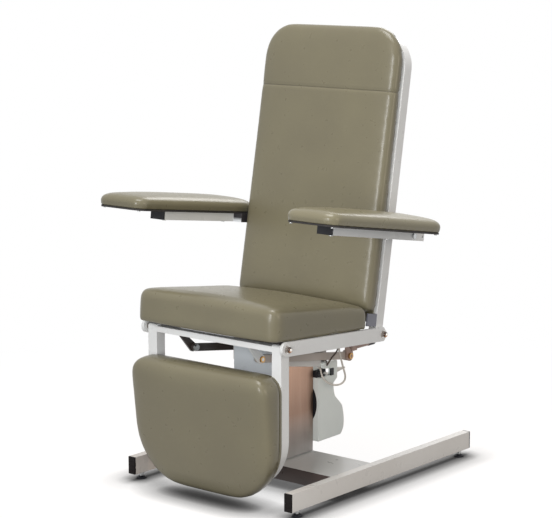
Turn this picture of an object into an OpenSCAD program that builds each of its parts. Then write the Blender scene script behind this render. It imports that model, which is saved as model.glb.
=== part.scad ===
// Reclining blood-draw chair on a lifting column.
// X is the width, the sitter faces -Y, Z is up and the floor is Z = 0.
// The origin is on the floor, midway along the overall depth and width.

/* [Base] */
// Width over the two floor rails
base_w = 604.6; // [580:0.1:640]
// Length of a floor rail with its end caps
rail_len = 859; // [800:1:920]
// Width of the rail tube
rail_w = 25.4; // [22:0.1:32]
// Height of the rail tube
rail_h = 50.8; // [44:0.1:58]
// Wall of the rail tube
rail_wall = 2; // [1.5:0.1:3]
// Thickness of an end cap outside its rail
cap_t = 5; // [3:0.5:8]
// Depth of an end cap's plug inside its rail
cap_plug = 14; // [8:1:24]
// Distance of a levelling foot from the end of its rail
foot_inset = 41; // [30:1:80]
// Diameter of a levelling foot
foot_d = 28; // [22:1:40]
// Thickness of a levelling foot
foot_t = 8; // [5:0.5:10]
// Diameter of a levelling stud
stud_d = 10; // [8:0.5:12]
// Height of the rails above the floor
ground_gap = 20.5; // [18:0.5:30]
// Distance from the rail front to the cross channel
channel_setback = 205; // [180:1:230]
// Depth of the cross channel, front to rear
channel_d = 183.6; // [180:0.1:200]
// Height of the cross channel's flanges
channel_h = 42; // [30:1:46]
// Sheet thickness of the cross channel
channel_t = 4; // [3:0.5:6]

/* [Column] */
// Width of the column sleeve
sleeve_w = 146.2; // [140:0.2:150]
// Depth of the column sleeve
sleeve_d = 176; // [170:1:178]
// Height of the column sleeve
sleeve_h = 275; // [255:1:278]
// Wall of the sleeve
sleeve_wall = 1.5; // [1:0.1:2]
// Recess under the sleeve, seen as a dark line
plinth_h = 3; // [2:0.5:6]
// Gap between sleeve and inner tube, filled by the glides
glide_gap = 5.6; // [4:0.1:8]
// Wall of the inner tube
inner_wall = 3; // [2:0.5:4]
// Height of a glide pad
glide_h = 22; // [15:1:30]
// Diameter of the lifting spindle
spindle_d = 20; // [16:1:24]
// Diameter of the tube that carries the spindle nut
nut_tube_d = 42; // [36:1:50]

/* [Head] */
// Thickness of the head's side cheeks
cheek_t = 3.5; // [3:0.5:6]
// Depth of the cheeks, front to rear
cheek_d = 232; // [225:1:240]
// Height of the cheeks' lower edge above the sleeve top, at the front
cheek_front_rise = 6; // [4:1:10]
// Drop of the cheeks' lower edge from front to rear
cheek_drop = 42; // [30:1:46]
// Thickness of the head plate
head_plate_t = 8; // [6:1:10]
// Gap between the sleeve and the head plate when lowered
head_gap = 7; // [5:1:10]

/* [Lift drive] */
// Height of the motor housing below the head plate
housing_h = 254; // [240:1:258]
// Width of the motor housing
housing_w = 96; // [90:1:110]
// Depth of the housing at its belly
housing_d = 121; // [110:1:130]
// Half width of the oval motor can
can_a = 40; // [36:1:42]
// Half height of the oval motor can
can_b = 60; // [50:1:64]
// Depth of the motor can
can_t = 48; // [40:1:60]
// Diameter of the motor cable
cable_d = 5.5; // [5:0.5:7]

/* [Seat] */
// Distance from the rail front to the front pivot
front_pivot_setback = 38; // [30:1:60]
// Height of the front pivot
front_pivot_z = 457; // [452:1:480]
// Distance between the front and the rear pivot
pivot_span = 432.9; // [425:0.1:440]
// Fall of the seat to the rear, in degrees
seat_tilt = 3.7; // [2:0.1:5]
// Width over the two seat rails
seat_rail_w = 517; // [510:1:530]
// Thickness of a seat rail
seat_rail_t = 10; // [8:0.5:12]
// Height of a seat rail
seat_rail_h = 40; // [36:1:46]
// Length of a rail ahead of the front pivot
rail_nose = 22; // [20:1:30]
// Length of a rail behind the rear pivot
rail_tail = 14; // [12:1:30]
// Side of the crossmember tubes
member_s = 25; // [22:0.5:26]
// Thickness of the seat board
seat_board_t = 9; // [6:0.5:10]
// Width of the seat cushion
seat_cushion_w = 514; // [480:1:516]
// Distance of the seat cushion's front ahead of the front pivot
seat_front_lead = 55; // [40:1:60]
// Distance of the seat cushion's rear ahead of the rear pivot
seat_rear_inset = 73; // [72:1:90]
// Thickness of the seat cushion at its front edge
seat_cushion_t = 95; // [80:1:110]
// How much thinner the seat cushion is at its rear
seat_taper = 25; // [0:1:30]
// Crown of the seat cushion
seat_crown = 9; // [4:1:14]
// Diameter of the main pivot bolts
pivot_d = 10; // [8:0.5:12]
// Diameter of a dome nut
dome_d = 20; // [18:1:26]

/* [Back] */
// Width of the back cushion
back_cushion_w = 495; // [460:1:496]
// Lean of the back behind the vertical, in degrees
back_lean = 9.9; // [8:0.1:14]
// Length of the back frame above the rear pivot
back_l = 852; // [800:1:900]
// Width over the back frame
back_w = 495; // [480:1:495]
// Width of the frame tube, across the chair
hoop_w = 25.4; // [22:0.2:30]
// Depth of the frame tube, front to rear
hoop_d = 32; // [28:0.5:34]
// Wall of the frame tube
hoop_wall = 2; // [1.5:0.1:3]
// Outer radius of the frame's top corners
hoop_r = 98; // [80:1:120]
// Distance of the frame's centreline ahead of the rear pivot
hoop_lead = 8; // [6:0.5:9]
// Thickness of the back board
back_board_t = 6; // [4:0.5:10]
// Length of the back cushion above the rear pivot
back_cushion_top = 870; // [820:1:920]
// Height of the back cushion's lower end above the rear pivot
back_cushion_low = 57; // [56:1:64]
// Thickness of the back cushion at its edges
back_cushion_t = 45; // [36:1:50]
// How much thinner the back cushion is at its top
back_taper = 11; // [0:1:14]
// Crown of the back cushion
back_crown = 6; // [3:1:10]
// Height of the head seam above the rear pivot
head_seam = 685; // [640:1:720]
// Radius of the cushion's top corners
back_corner_r = 100; // [80:1:120]

/* [Leg rest] */
// Width over the leg-rest frame
leg_w = 488; // [470:1:490]
// Side of the leg-rest tube
leg_tube = 33; // [30:1:36]
// Wall of the leg-rest tube
leg_wall = 2; // [1.5:0.1:3]
// Distance of the tube's front face ahead of the front pivot
leg_lead = 9; // [8:0.5:9.5]
// Outer radius of the frame's lower corners
leg_r = 150; // [130:1:170]
// Length of the leg-rest frame below the front pivot
leg_drop = 408; // [380:1:410]
// Height of the crossbar between the posts
crossbar_h = 16; // [14:1:20]
// Thickness of the leg-rest board
leg_board_t = 8; // [6:0.5:12]
// Width of the leg-rest pad
leg_pad_w = 503; // [480:1:510]
// Distance from the front pivot to the pad's upper edge
leg_pad_top = 70; // [62:1:80]
// Distance from the front pivot to the pad's lower edge
leg_pad_low = 434; // [410:1:438]
// Thickness of the leg-rest pad at its upper edge
leg_pad_t = 75; // [70:1:85]
// How much thinner the leg-rest pad is at its lower edge
leg_taper = 40; // [0:1:42]
// Crown of the leg-rest pad
leg_crown = 7; // [4:1:10]
// Radius of the pad's lower corners
leg_pad_r = 165; // [140:1:175]
// Radius of the pad's upper corners
leg_top_r = 55; // [40:1:60]
// Radius of the pad's edges
leg_edge_r = 20; // [14:1:21]
// Radius of the pad's upper edge
leg_top_edge_r = 34; // [20:1:44]

/* [Recline linkage] */
// Distance of a link bar's centre plane from the chair's centre
link_x = 118; // [110:1:124]
// Thickness of a link bar
link_t = 8; // [6:0.5:10]
// Height of a link bar
link_h = 22; // [18:1:24]
// Thickness of a lug or lever plate
lug_t = 6; // [5:0.5:8]
// Front pin behind the front pivot
front_pin_back = 47; // [44:1:50]
// Front pin below the front pivot
front_pin_down = 53; // [50:1:55]
// Rear pin behind the rear pivot
rear_pin_back = 15; // [12:1:18]
// Rear pin below the rear pivot
rear_pin_down = 84; // [81:1:87]
// Diameter of a link pin
pin_d = 10; // [8:1:12]
// Play of the link's rear eye on its pin
rear_eye_play = 5; // [4:0.5:6]
// Diameter of the link's rear eye
rear_eye_d = 30; // [28:1:34]
// Diameter of the gas spring's cylinder
gas_d = 24; // [20:1:26]
// Diameter of the gas spring's rod
gas_rod_d = 10; // [8:1:12]
// Length of the gas spring's cylinder
gas_l = 150; // [130:1:155]
// Diameter of the cross tube that the rod pushes on
lever_tube_d = 14; // [12:1:16]

/* [Armrests] */
// Height of the right arm's pivot along the back frame
arm_up = 288; // [260:1:340]
// How much lower the left arm's pivot is set
arm_left_drop = 4; // [0:1:30]
// Rise of the right arm to the front, in degrees
arm_right_rise = 9.1; // [4:0.1:12]
// Rise of the left arm to the front, in degrees
arm_left_rise = 7.3; // [4:0.1:12]
// Width of the arm tube
arm_tube_w = 50.8; // [45:0.2:55]
// Height of the arm tube
arm_tube_h = 25.4; // [22:0.2:30]
// Wall of the arm tube
arm_wall = 2; // [1.5:0.1:3]
// Gap between the back frame and the arm tube
arm_gap = 31.5; // [28:0.5:36]
// Length of the tube ahead of its pivot
arm_front = 379; // [350:1:400]
// Length of the tube behind its pivot
arm_rear = 52; // [45:1:60]
// Width of an arm pad
arm_pad_w = 181; // [160:1:183]
// Length of an arm pad
arm_pad_l = 520; // [480:1:530]
// Thickness of an arm pad at its edges
arm_pad_t = 34; // [30:1:40]
// Crown of an arm pad
arm_crown = 10; // [4:1:12]
// Overhang of the pad ahead of the tube
arm_pad_lead = 131; // [110:1:140]
// Outward shift of a pad's middle from its tube's
arm_pad_shift = 39; // [38:1:45]
// Thickness of the plate under a pad
arm_plate_t = 5; // [3:0.5:8]

/* [Release lever] */
// Length of the release lever with its grip
lever_l = 104; // [90:1:110]
// Diameter of the release lever
lever_d = 15; // [12:1:16]
// Length of the lever's grip
grip_l = 30; // [24:1:40]

/* [Hidden] */
$fn = 48;

// Overrun of every cut past its face
over = 1;
// Radial running clearance of a turning pin
run_fit = 0.05;
// Clearance between a soft solid and what carries it
soft_gap = 0.3;
// Clearance of a sliding fit
slide_fit = 0.1;

paint = [0.86, 0.86, 0.84];
dark_steel = [0.24, 0.23, 0.23];
steel = [0.62, 0.58, 0.55];
chrome = [0.82, 0.83, 0.85];
black = [0.08, 0.08, 0.09];
grey = [0.74, 0.77, 0.74];
white = [0.92, 0.91, 0.88];
vinyl = [0.50, 0.48, 0.40];
wood = [0.35, 0.28, 0.20];
brass = [0.72, 0.54, 0.22];

// Places along the depth
leg_pad_l = leg_pad_low - leg_pad_top;
leg_pad_deep = max([for (y = along(leg_pad_l, leg_pad_r, leg_top_r)) let (
  t = cushion_t(y, leg_pad_l, leg_pad_t - leg_taper, leg_edge_r, leg_top_edge_r, -leg_taper))
  t + cushion_crown(y, leg_pad_l, leg_crown)]);
pad_overhang = leg_pad_deep + leg_board_t + leg_lead + soft_gap - front_pivot_setback;
rail_front_y = (pad_overhang - rail_len) / 2;
front_pivot_y = rail_front_y + front_pivot_setback;
rear_pivot_y = front_pivot_y + pivot_span * cos(seat_tilt);
rear_pivot_z = front_pivot_z - pivot_span * sin(seat_tilt);
channel_y = rail_front_y + channel_setback;
rail_top = ground_gap + rail_h;
rail_cx = base_w / 2 - rail_w / 2;
foot_ys = [rail_front_y + foot_inset, rail_front_y + rail_len - foot_inset];

// Column places
sleeve_rear_y = channel_y + channel_d - 2 * channel_t + sleeve_wall;
sleeve_cy = sleeve_rear_y - sleeve_d / 2;
sleeve_z = rail_top + plinth_h;
sleeve_top = sleeve_z + sleeve_h;
foot_plug_h = 12;
inner_w = sleeve_w - 2 * (sleeve_wall + glide_gap);
inner_d = sleeve_d - 2 * (sleeve_wall + glide_gap);
inner_z = sleeve_z + foot_plug_h + glide_gap;
head_plate_z = sleeve_top + head_gap;
cheek_gap = 0.8;
cheek_x = sleeve_w / 2 + cheek_gap;
cheek_y = sleeve_rear_y - sleeve_d - cheek_gap;
cheek_rear_y = cheek_y + cheek_d;

// Seat places, measured in the tilted frame of the seat
seat_rail_x = seat_rail_w / 2 - seat_rail_t;
board_w = seat_rail_h / 2 - seat_board_t;
member_w = board_w - member_s;
front_member_v = 172;
rear_member_inset = 90;
rear_member_v = pivot_span - rear_member_inset;
seat_cushion_l = seat_front_lead + pivot_span - seat_rear_inset;
bolt_gap = 1;

// Gas spring places
gas_anchor_back = 40;
gas_anchor_rise = 33;
gas_anchor_y = cheek_y + gas_anchor_back;
gas_anchor_z = head_plate_z + head_plate_t + gas_anchor_rise;
lever_tube_back = 12;
lever_tube_down = 43;

// Height of a point of the seat's frame, at the chair's depth y and the height w above the pivots' line
function seat_z(y, w) = front_pivot_z - (y - front_pivot_y) * tan(seat_tilt) + w / cos(seat_tilt);

// Points of an arc about a centre, from angle a to angle b in n steps
function arc(c, r, a, b, n = 8) = [for (i = [0 : n]) c + r * [cos(a + (b - a) * i / n), sin(a + (b - a) * i / n)]];

// A rectangle from corner p to corner q with rounded corners
function round_rect(p, q, r) = concat(
  arc([q.x - r, q.y - r], r, 0, 90), arc([p.x + r, q.y - r], r, 90, 180),
  arc([p.x + r, p.y + r], r, 180, 270), arc([q.x - r, p.y + r], r, 270, 360));

// How far a rounded edge of radius r has fallen at the distance d from its rim
function edge_fall(d, r) = d >= r ? 0 : r - sqrt(r * r - pow(r - d, 2));

module left_and_right() {
  children();
  mirror([1, 0, 0]) children();
}

module in_seat() {
  translate([0, front_pivot_y, front_pivot_z]) rotate([-seat_tilt, 0, 0]) children();
}

module in_back() {
  translate([0, rear_pivot_y, rear_pivot_z]) rotate([-back_lean, 0, 0]) children();
}

module in_leg() {
  translate([0, front_pivot_y, front_pivot_z]) children();
}

// A box from corner p to corner q
module box(p, q) {
  translate(p) cube(q - p);
}

// A round bar along X, from x0 to x1, at the place [y, z]
module bar_x(x0, x1, place, d) {
  translate([x0, place.x, place.y]) rotate([0, 90, 0]) cylinder(h = x1 - x0, d = d);
}

// An outline in depth and height, drawn out along X from x0 to x1
module plate_x(x0, x1, points) {
  translate([x0, 0, 0]) rotate([90, 0, 90]) linear_extrude(height = x1 - x0) polygon(points);
}

// A straight square-section tube lying along X, from corner p to corner q
module tube_x(p, q, wall) {
  difference() {
    box(p, q);
    box(p + [-over, wall, wall], q + [over, -wall, -wall]);
  }
}

// One cross-section of a cushion: half width h, edge thickness t, edge radius r, crown c
crown_steps = 8;
edge_steps = 4;
welt_share = 0.12;
function section(h, t, r, c) = concat(
  [[-h + r * welt_share, 0], [h - r * welt_share, 0], [h, r * welt_share]],
  arc([h - r, t - r], r, 0, 90, edge_steps),
  [for (i = [1 : crown_steps - 1]) let (u = 1 - 2 * i / crown_steps) [u * (h - r), t + c * (1 - u * u)]],
  arc([r - h, t - r], r, 90, 180, edge_steps),
  [[-h, r * welt_share]]);

// A closed solid through cross-sections that lie at the places ys along Y
module loft(ys, sections) {
  m = len(sections[0]);
  n = len(ys);
  points = [for (i = [0 : n - 1]) for (p = sections[i]) [p.x, ys[i], p.y]];
  sides = [for (i = [0 : n - 2]) for (j = [0 : m - 1]) let (k = (j + 1) % m)
    each [[i * m + j, (i + 1) * m + j, (i + 1) * m + k], [i * m + j, (i + 1) * m + k, i * m + k]]];
  first = [for (j = [1 : m - 2]) [0, j, j + 1]];
  last = [for (j = [1 : m - 2]) [(n - 1) * m, (n - 1) * m + j + 1, (n - 1) * m + j]];
  polyhedron(points = points, faces = concat(sides, first, last), convexity = 4);
}

// Places along a cushion of length l: close together in rounded ends of radius a and b, even between
function along(l, a, b, n_end = 7, n_mid = 6) = concat(
  [for (i = [0 : n_end]) a * (1 - cos(90 * i / n_end))],
  [for (i = [1 : n_mid - 1]) a + (l - a - b) * i / n_mid],
  [for (i = [0 : n_end]) l - b * (1 - cos(90 * (n_end - i) / n_end))]);

// How far a cushion's end edges have fallen at y, its thickness there, and its crown
function cushion_drop(y, l, r, end_r) = max(edge_fall(y, r), edge_fall(l - y, end_r));
function cushion_t(y, l, t, r, end_r, taper) = t - taper * y / l - cushion_drop(y, l, r, end_r);
function cushion_crown(y, l, crown) = crown * (1 - pow(2 * y / l - 1, 4));

// A cushion of width w and length l along Y: corner radii a at the start and b at the end, edge radius r,
// or end_r at its end, and thinner by the taper there
module cushion(w, l, t, a, b, r, crown, groove_at = -1, groove = 0, taper = 0, end_r = 0) {
  last_r = end_r > 0 ? end_r : r;
  ends = along(l, a, b);
  ys = groove_at < 0 ? ends : sorted_in(ends, [groove_at - groove_w, groove_at, groove_at + groove_w]);
  loft(ys, [for (y = ys)
    let (
      inset = max(edge_fall(y, a), edge_fall(l - y, b)),
      drop = min(r, cushion_drop(y, l, r, last_r)),
      dent = y == groove_at ? groove : 0)
    section(w / 2 - inset - dent, cushion_t(y, l, t, r, last_r, taper) - dent, r - drop * edge_share,
      cushion_crown(y, l, crown))]);
}
edge_share = 0.5;
groove_w = 7;

// A list of places with a few more put in, in rising order
function sorted_in(list, extra) = concat(
  [for (y = list) if (y < extra[0]) y], extra, [for (y = list) if (y > extra[2]) y]);

module base_rail() {
  y0 = rail_front_y + cap_t;
  y1 = rail_front_y + rail_len - cap_t;
  difference() {
    box([base_w / 2 - rail_w, y0, ground_gap], [base_w / 2, y1, rail_top]);
    box([base_w / 2 - rail_w + rail_wall, y0 - over, ground_gap + rail_wall],
      [base_w / 2 - rail_wall, y1 + over, rail_top - rail_wall]);
    for (y = foot_ys)
      translate([rail_cx, y, ground_gap - over]) cylinder(h = rail_wall + 2 * over, d = stud_d + 2 * slide_fit);
  }
}

module base_rail_left() {
  color(paint) mirror([1, 0, 0]) base_rail();
}

module base_rail_right() {
  color(paint) base_rail();
}

cap_rib_t = 1.2;
cap_ribs = 4;
cap_rib_share = 0.33;
module end_cap() {
  plug_x = rail_w / 2 - rail_wall - soft_gap;
  plug_z = rail_h / 2 - rail_wall - soft_gap;
  rotate([90, 0, 0]) linear_extrude(height = cap_t - cap_rib_t)
    polygon(round_rect([-rail_w / 2, -rail_h / 2], [rail_w / 2, rail_h / 2], cap_rib_t));
  difference() {
    box([-plug_x, -over, -plug_z], [plug_x, cap_plug, plug_z]);
    box([-plug_x + rail_wall, cap_t, -plug_z + rail_wall], [plug_x - rail_wall, cap_plug + over, plug_z - rail_wall]);
  }
  for (i = [0 : cap_ribs - 1])
    translate([0, -cap_t, (2 * i + 1 - cap_ribs) * rail_h / cap_ribs / 2])
      box([cap_rib_t - rail_w / 2, 0, -rail_h / cap_ribs * cap_rib_share],
        [rail_w / 2 - cap_rib_t, cap_rib_t + slide_fit, rail_h / cap_ribs * cap_rib_share]);
}

module rail_end_caps() {
  color(black) left_and_right() {
    translate([rail_cx, rail_front_y + cap_t, ground_gap + rail_h / 2]) end_cap();
    translate([rail_cx, rail_front_y + rail_len - cap_t, ground_gap + rail_h / 2]) mirror([0, 1, 0]) end_cap();
  }
}

module cross_channel() {
  x = base_w / 2 - rail_w;
  color(paint) difference() {
    box([-x, channel_y, rail_top - channel_h], [x, channel_y + channel_d, rail_top]);
    box([-x - over, channel_y + channel_t, rail_top - channel_h - over],
      [x + over, channel_y + channel_d - channel_t, rail_top - channel_t]);
    for (sx = [-1, 1], sy = [-1, 1])
      translate([sx * foot_bolt_x, sleeve_cy + sy * foot_bolt_y, rail_top - channel_t - over])
        cylinder(h = channel_t + 2 * over, d = foot_bolt_d + 2 * slide_fit);
  }
}
foot_bolt_d = 10;
foot_bolt_x = 45;
foot_bolt_y = 60;
foot_bolt_head_h = 7;
foot_bolt_head_share = 1.8;

foot_nut_h = 6;
foot_nut_share = 1.75;
foot_neck_share = 1.6;
stud_in_rail = 14;
module foot_studs() {
  color(chrome) left_and_right() for (y = foot_ys) translate([rail_cx, y, 0]) {
    translate([0, 0, foot_t / 2]) cylinder(h = ground_gap + stud_in_rail - foot_t / 2, d = stud_d);
    translate([0, 0, ground_gap - foot_nut_h]) cylinder(h = foot_nut_h, d = stud_d * foot_nut_share, $fn = 6);
  }
}

module foot_pads() {
  color(black) left_and_right() for (y = foot_ys) translate([rail_cx, y, 0]) difference() {
    union() {
      cylinder(h = foot_t / 2, d = foot_d);
      translate([0, 0, foot_t / 2]) cylinder(h = foot_t / 2, d1 = foot_d, d2 = stud_d * foot_neck_share);
    }
    translate([0, 0, foot_t / 2]) cylinder(h = foot_t, d = stud_d);
  }
}

// A rectangular ring on the column's axis, of size w by d with the wall t, from z0 to z1
module column_ring(w, d, t, z0, z1) {
  translate([0, sleeve_cy, 0]) difference() {
    box([-w / 2, -d / 2, z0], [w / 2, d / 2, z1]);
    box([t - w / 2, t - d / 2, z0 - over], [w / 2 - t, d / 2 - t, z1 + over]);
  }
}

module column_sleeve() {
  color(steel) column_ring(sleeve_w, sleeve_d, sleeve_wall, sleeve_z, sleeve_top);
}

module column_foot() {
  pw = sleeve_w - 2 * sleeve_wall - 2 * soft_gap;
  pd = sleeve_d - 2 * sleeve_wall - 2 * soft_gap;
  color(dark_steel) translate([0, sleeve_cy, 0]) {
    box([plinth_h - pw / 2, plinth_h - pd / 2, rail_top], [pw / 2 - plinth_h, pd / 2 - plinth_h, sleeve_z]);
    box([-pw / 2, -pd / 2, sleeve_z], [pw / 2, pd / 2, sleeve_z + foot_plug_h]);
    for (sx = [-1, 1], sy = [-1, 1]) translate([sx * foot_bolt_x, sy * foot_bolt_y, 0]) {
      translate([0, 0, rail_top - channel_t]) cylinder(h = channel_t, d = foot_bolt_d);
      translate([0, 0, rail_top - channel_t - foot_bolt_head_h])
        cylinder(h = foot_bolt_head_h, d = foot_bolt_d * foot_bolt_head_share, $fn = 6);
    }
  }
}

// The four pads that fill the gap between the sleeve and the inner tube at the height z
module pad_ring(z, at_sleeve) {
  t = glide_gap - slide_fit;
  off = at_sleeve ? 0 : slide_fit;
  translate([0, sleeve_cy, z]) for (s = [-1, 1]) {
    translate([s * (sleeve_w / 2 - sleeve_wall - off - t / 2), 0, glide_h / 2])
      cube([t, sleeve_d * pad_share, glide_h], center = true);
    translate([0, s * (sleeve_d / 2 - sleeve_wall - off - t / 2), glide_h / 2])
      cube([sleeve_w * pad_share, t, glide_h], center = true);
  }
}
pad_share = 0.6;

module column_glides() {
  color(white) pad_ring(sleeve_top - glide_h, true);
}

module column_shoes() {
  color(white) pad_ring(inner_z, false);
}

nut_h = 30;
module lift_nut_tube() {
  z0 = sleeve_z + foot_plug_h;
  z1 = sleeve_top - glide_h;
  color(dark_steel) translate([0, sleeve_cy, z0]) difference() {
    cylinder(h = z1 - z0, d = nut_tube_d);
    translate([0, 0, -over]) cylinder(h = z1 - z0 - nut_h + over, d = nut_tube_d - 2 * rail_wall);
    cylinder(h = z1 - z0 + over, d = spindle_d + 2 * slide_fit);
  }
}

module column_inner() {
  color(steel) column_ring(inner_w, inner_d, inner_wall, inner_z, head_plate_z);
}

module lift_spindle() {
  z0 = inner_z + glide_h;
  color(chrome) translate([0, sleeve_cy, z0]) cylinder(h = head_plate_z - z0, d = spindle_d);
}

cheek_notch_back = 27;
cheek_rear_rise = 10;
module lift_head() {
  cheek_low = sleeve_top + cheek_front_rise;
  notch_y = cheek_rear_y - cheek_notch_back;
  color(paint) {
    left_and_right() plate_x(cheek_x, cheek_x + cheek_t, [
      [cheek_y, cheek_low], [cheek_rear_y, cheek_low - cheek_drop],
      [cheek_rear_y, head_plate_z + cheek_rear_rise], [notch_y, seat_z(notch_y, member_w)],
      [cheek_y, seat_z(cheek_y, member_w)]]);
    box([-cheek_x, cheek_y, head_plate_z], [cheek_x, cheek_rear_y, head_plate_z + head_plate_t]);
    box([-cheek_x, cheek_y - cheek_gap, cheek_low], [cheek_x, cheek_y + cheek_t - cheek_gap,
      seat_z(cheek_y, member_w) - member_s]);
    bar_x(-cheek_x, cheek_x, [gas_anchor_y, gas_anchor_z], pin_d);
  }
}

gearbox_t = 9;
gearbox_w = 90;
gearbox_front_share = 0.33;
gearbox_corner_share = 0.17;
module lift_gearbox() {
  z0 = head_plate_z + head_plate_t;
  color(grey) translate([0, 0, z0]) linear_extrude(height = gearbox_t)
    polygon(round_rect([-gearbox_w / 2, sleeve_cy - gearbox_w * gearbox_front_share],
      [gearbox_w / 2, cheek_rear_y - cheek_t], gearbox_w * gearbox_corner_share));
}

// Motor housing places: it hangs behind the sleeve from the rear of the head plate
housing_gap = 1.6;
housing_y = sleeve_rear_y + housing_gap;
housing_x1 = 92;
housing_neck_w = 62;
housing_neck_h = 66;
housing_z0 = head_plate_z - housing_h;
housing_z1 = head_plate_z - housing_neck_h;
can_side_gap = 8;
can_rise = 16;
can_x = housing_x1 - can_a - can_side_gap;
can_z = (housing_z0 + housing_z1) / 2 + can_rise;
// The housing's side outline, as shares of its depth and height
housing_shares = [
  [0, 0], [0.862, 0.01], [0.936, 0.053], [0.985, 0.12], [1, 0.2], [0.99, 0.31], [0.93, 0.465], [0.845, 0.527],
  [0.72, 0.6], [0.647, 0.649], [0.605, 0.72], [0.585, 0.8], [0.578, 0.96], [0.56, 0.99], [0.53, 1], [0, 1]
];
cap_low = 24;
cap_h = 17;
cap_y0 = 26;
cap_y1 = 88;
cap_lip = 4;
cap_tails = [16, 24, 28];
module oval(a, b, n = 40) {
  polygon([for (i = [0 : n - 1]) [a * cos(360 * i / n), b * sin(360 * i / n)]]);
}

module motor_housing() {
  y0 = housing_y + cap_y0;
  y1 = housing_y + cap_y1;
  z = housing_z1 + cap_low;
  color(grey) difference() {
    union() {
      plate_x(housing_x1 - housing_w, housing_x1, [for (p = housing_shares)
        [housing_y + p.x * housing_d, housing_z0 + p.y * (housing_z1 - housing_z0)]]);
      box([cheek_x - housing_neck_w - cheek_t, housing_y, housing_z1 - over],
        [cheek_x - cheek_t, cheek_rear_y - cheek_t, head_plate_z]);
      plate_x(cheek_x + cheek_t + housing_gap, housing_x1, concat(
        [[y1 - cap_tails[0], housing_z1 - cap_low], [y1, housing_z1 - cap_low / 2]],
        arc([y1 - cap_h / 2, z + cap_h / 2], cap_h / 2, 0, 90), arc([y0 + cap_h / 2, z + cap_h / 2], cap_h / 2, 90, 180),
        [[y0, z], [y1 - cap_tails[1], z - cap_lip], [y1 - cap_tails[2], housing_z1 - cap_low]]));
    }
    translate([can_x, housing_y + can_t, can_z]) rotate([90, 0, 0]) linear_extrude(height = can_t + over)
      oval(can_a + housing_gap, can_b + housing_gap);
  }
}

can_rim = 6;
module motor_can() {
  color(black) translate([can_x, housing_y + can_t, can_z]) rotate([90, 0, 0]) {
    linear_extrude(height = can_t - housing_gap) oval(can_a, can_b);
    linear_extrude(height = can_t) oval(can_a - can_rim, can_b - can_rim);
  }
}

// Plugs in the neck above the housing: place behind its front face, and width
plug_places = [[9, 15], [32, 24]];
side_plug_y = 60;
side_plug_w = 14;
plug_h = 20;
plug_out = 13;
plug_key = 4;
plug_key_share = 0.33;
module plugs_black() {
  x = cheek_x - cheek_t;
  color(black) for (p = plug_places) {
    y = housing_y + p.x;
    box([x, y - p.y / 2, housing_z1], [x + plug_out, y + p.y / 2, housing_z1 + plug_h]);
    box([x + plug_out, y - p.y * plug_key_share, housing_z1 + plug_key],
      [x + plug_out + plug_key, y + p.y * plug_key_share, housing_z1 + plug_h - plug_key]);
  }
  color(black) box([housing_x1, housing_y + side_plug_y - side_plug_w / 2, housing_z1],
    [housing_x1 + plug_key, housing_y + side_plug_y + side_plug_w / 2, housing_z1 + plug_h]);
}

boot_l = 46;
boot_d = 17;
boot_x = 84;
boot_tip_share = 0.8;
collar_l = 12;
grommet_l = 3;
collar_share = 1.3;
module plugs_white() {
  x = cheek_x - cheek_t;
  last = plug_places[1];
  color(white) {
    translate([boot_x, housing_y + cap_y1, housing_z1 + boot_d / 2]) rotate([-90, 0, 0])
      cylinder(h = boot_l, d1 = boot_d, d2 = cable_d * boot_tip_share);
    bar_x(x + plug_out + plug_key, x + plug_out + plug_key + collar_l,
      [housing_y + last.x, housing_z1 + plug_h / 2], cable_d * collar_share);
    bar_x(x, x + grommet_l, [motor_cable_route[0].y, motor_cable_route[0].z], cable_d * collar_share);
  }
}

// Tube of the diameter d swept along the points of a hand-laid route
function unit(v) = v / norm(v);
function route_dir(p, i) = unit((i < len(p) - 1 ? unit(p[i + 1] - p[i]) : [0, 0, 0])
  + (i > 0 ? unit(p[i] - p[i - 1]) : [0, 0, 0]));
function route_side(p, i) = let (d = route_dir(p, i), s = i == 0 ? first_side(d) : route_side(p, i - 1))
  unit(s - d * (s * d));
function first_side(d) = unit(cross(d, abs(d.x) < abs(d.z) ? [1, 0, 0] : [0, 0, 1]));
// A smooth curve through the points, with n steps for each span and a straight first and last span
function spline(p, n) = concat([for (i = [0 : len(p) - 2]) each [for (j = [0 : (i == 0 || i == len(p) - 2 ? 1 : n) - 1])
  let (
    t = j / n, a = p[max(i - 1, 0)], b = p[i], c = p[i + 1], e = p[min(i + 2, len(p) - 1)])
  b + t * (c - a) / 2 + t * t * (2 * a - 5 * b + 4 * c - e) / 2 + t * t * t * (3 * b - a - 3 * c + e) / 2]],
  [p[len(p) - 1]]);
module cord(p, d, sides = 10) {
  n = len(p);
  points = [for (i = [0 : n - 1]) let (a = route_dir(p, i), u = route_side(p, i), v = cross(a, u))
    each [for (j = [0 : sides - 1]) p[i] + d / 2 * (u * cos(360 * j / sides) + v * sin(360 * j / sides))]];
  tube = [for (i = [0 : n - 2]) for (j = [0 : sides - 1]) let (k = (j + 1) % sides)
    each [[i * sides + j, (i + 1) * sides + k, (i + 1) * sides + j],
      [i * sides + j, i * sides + k, (i + 1) * sides + k]]];
  first = [for (j = [1 : sides - 2]) [0, j + 1, j]];
  last = [for (j = [1 : sides - 2]) [(n - 1) * sides, (n - 1) * sides + j, (n - 1) * sides + j + 1]];
  polyhedron(points = points, faces = concat(tube, first, last), convexity = 6);
}

// Points whose depths are measured back from the sleeve's rear face, brought to their place
function behind_sleeve(p) = [for (q = p) q + [0, sleeve_rear_y, 0]];
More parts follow.
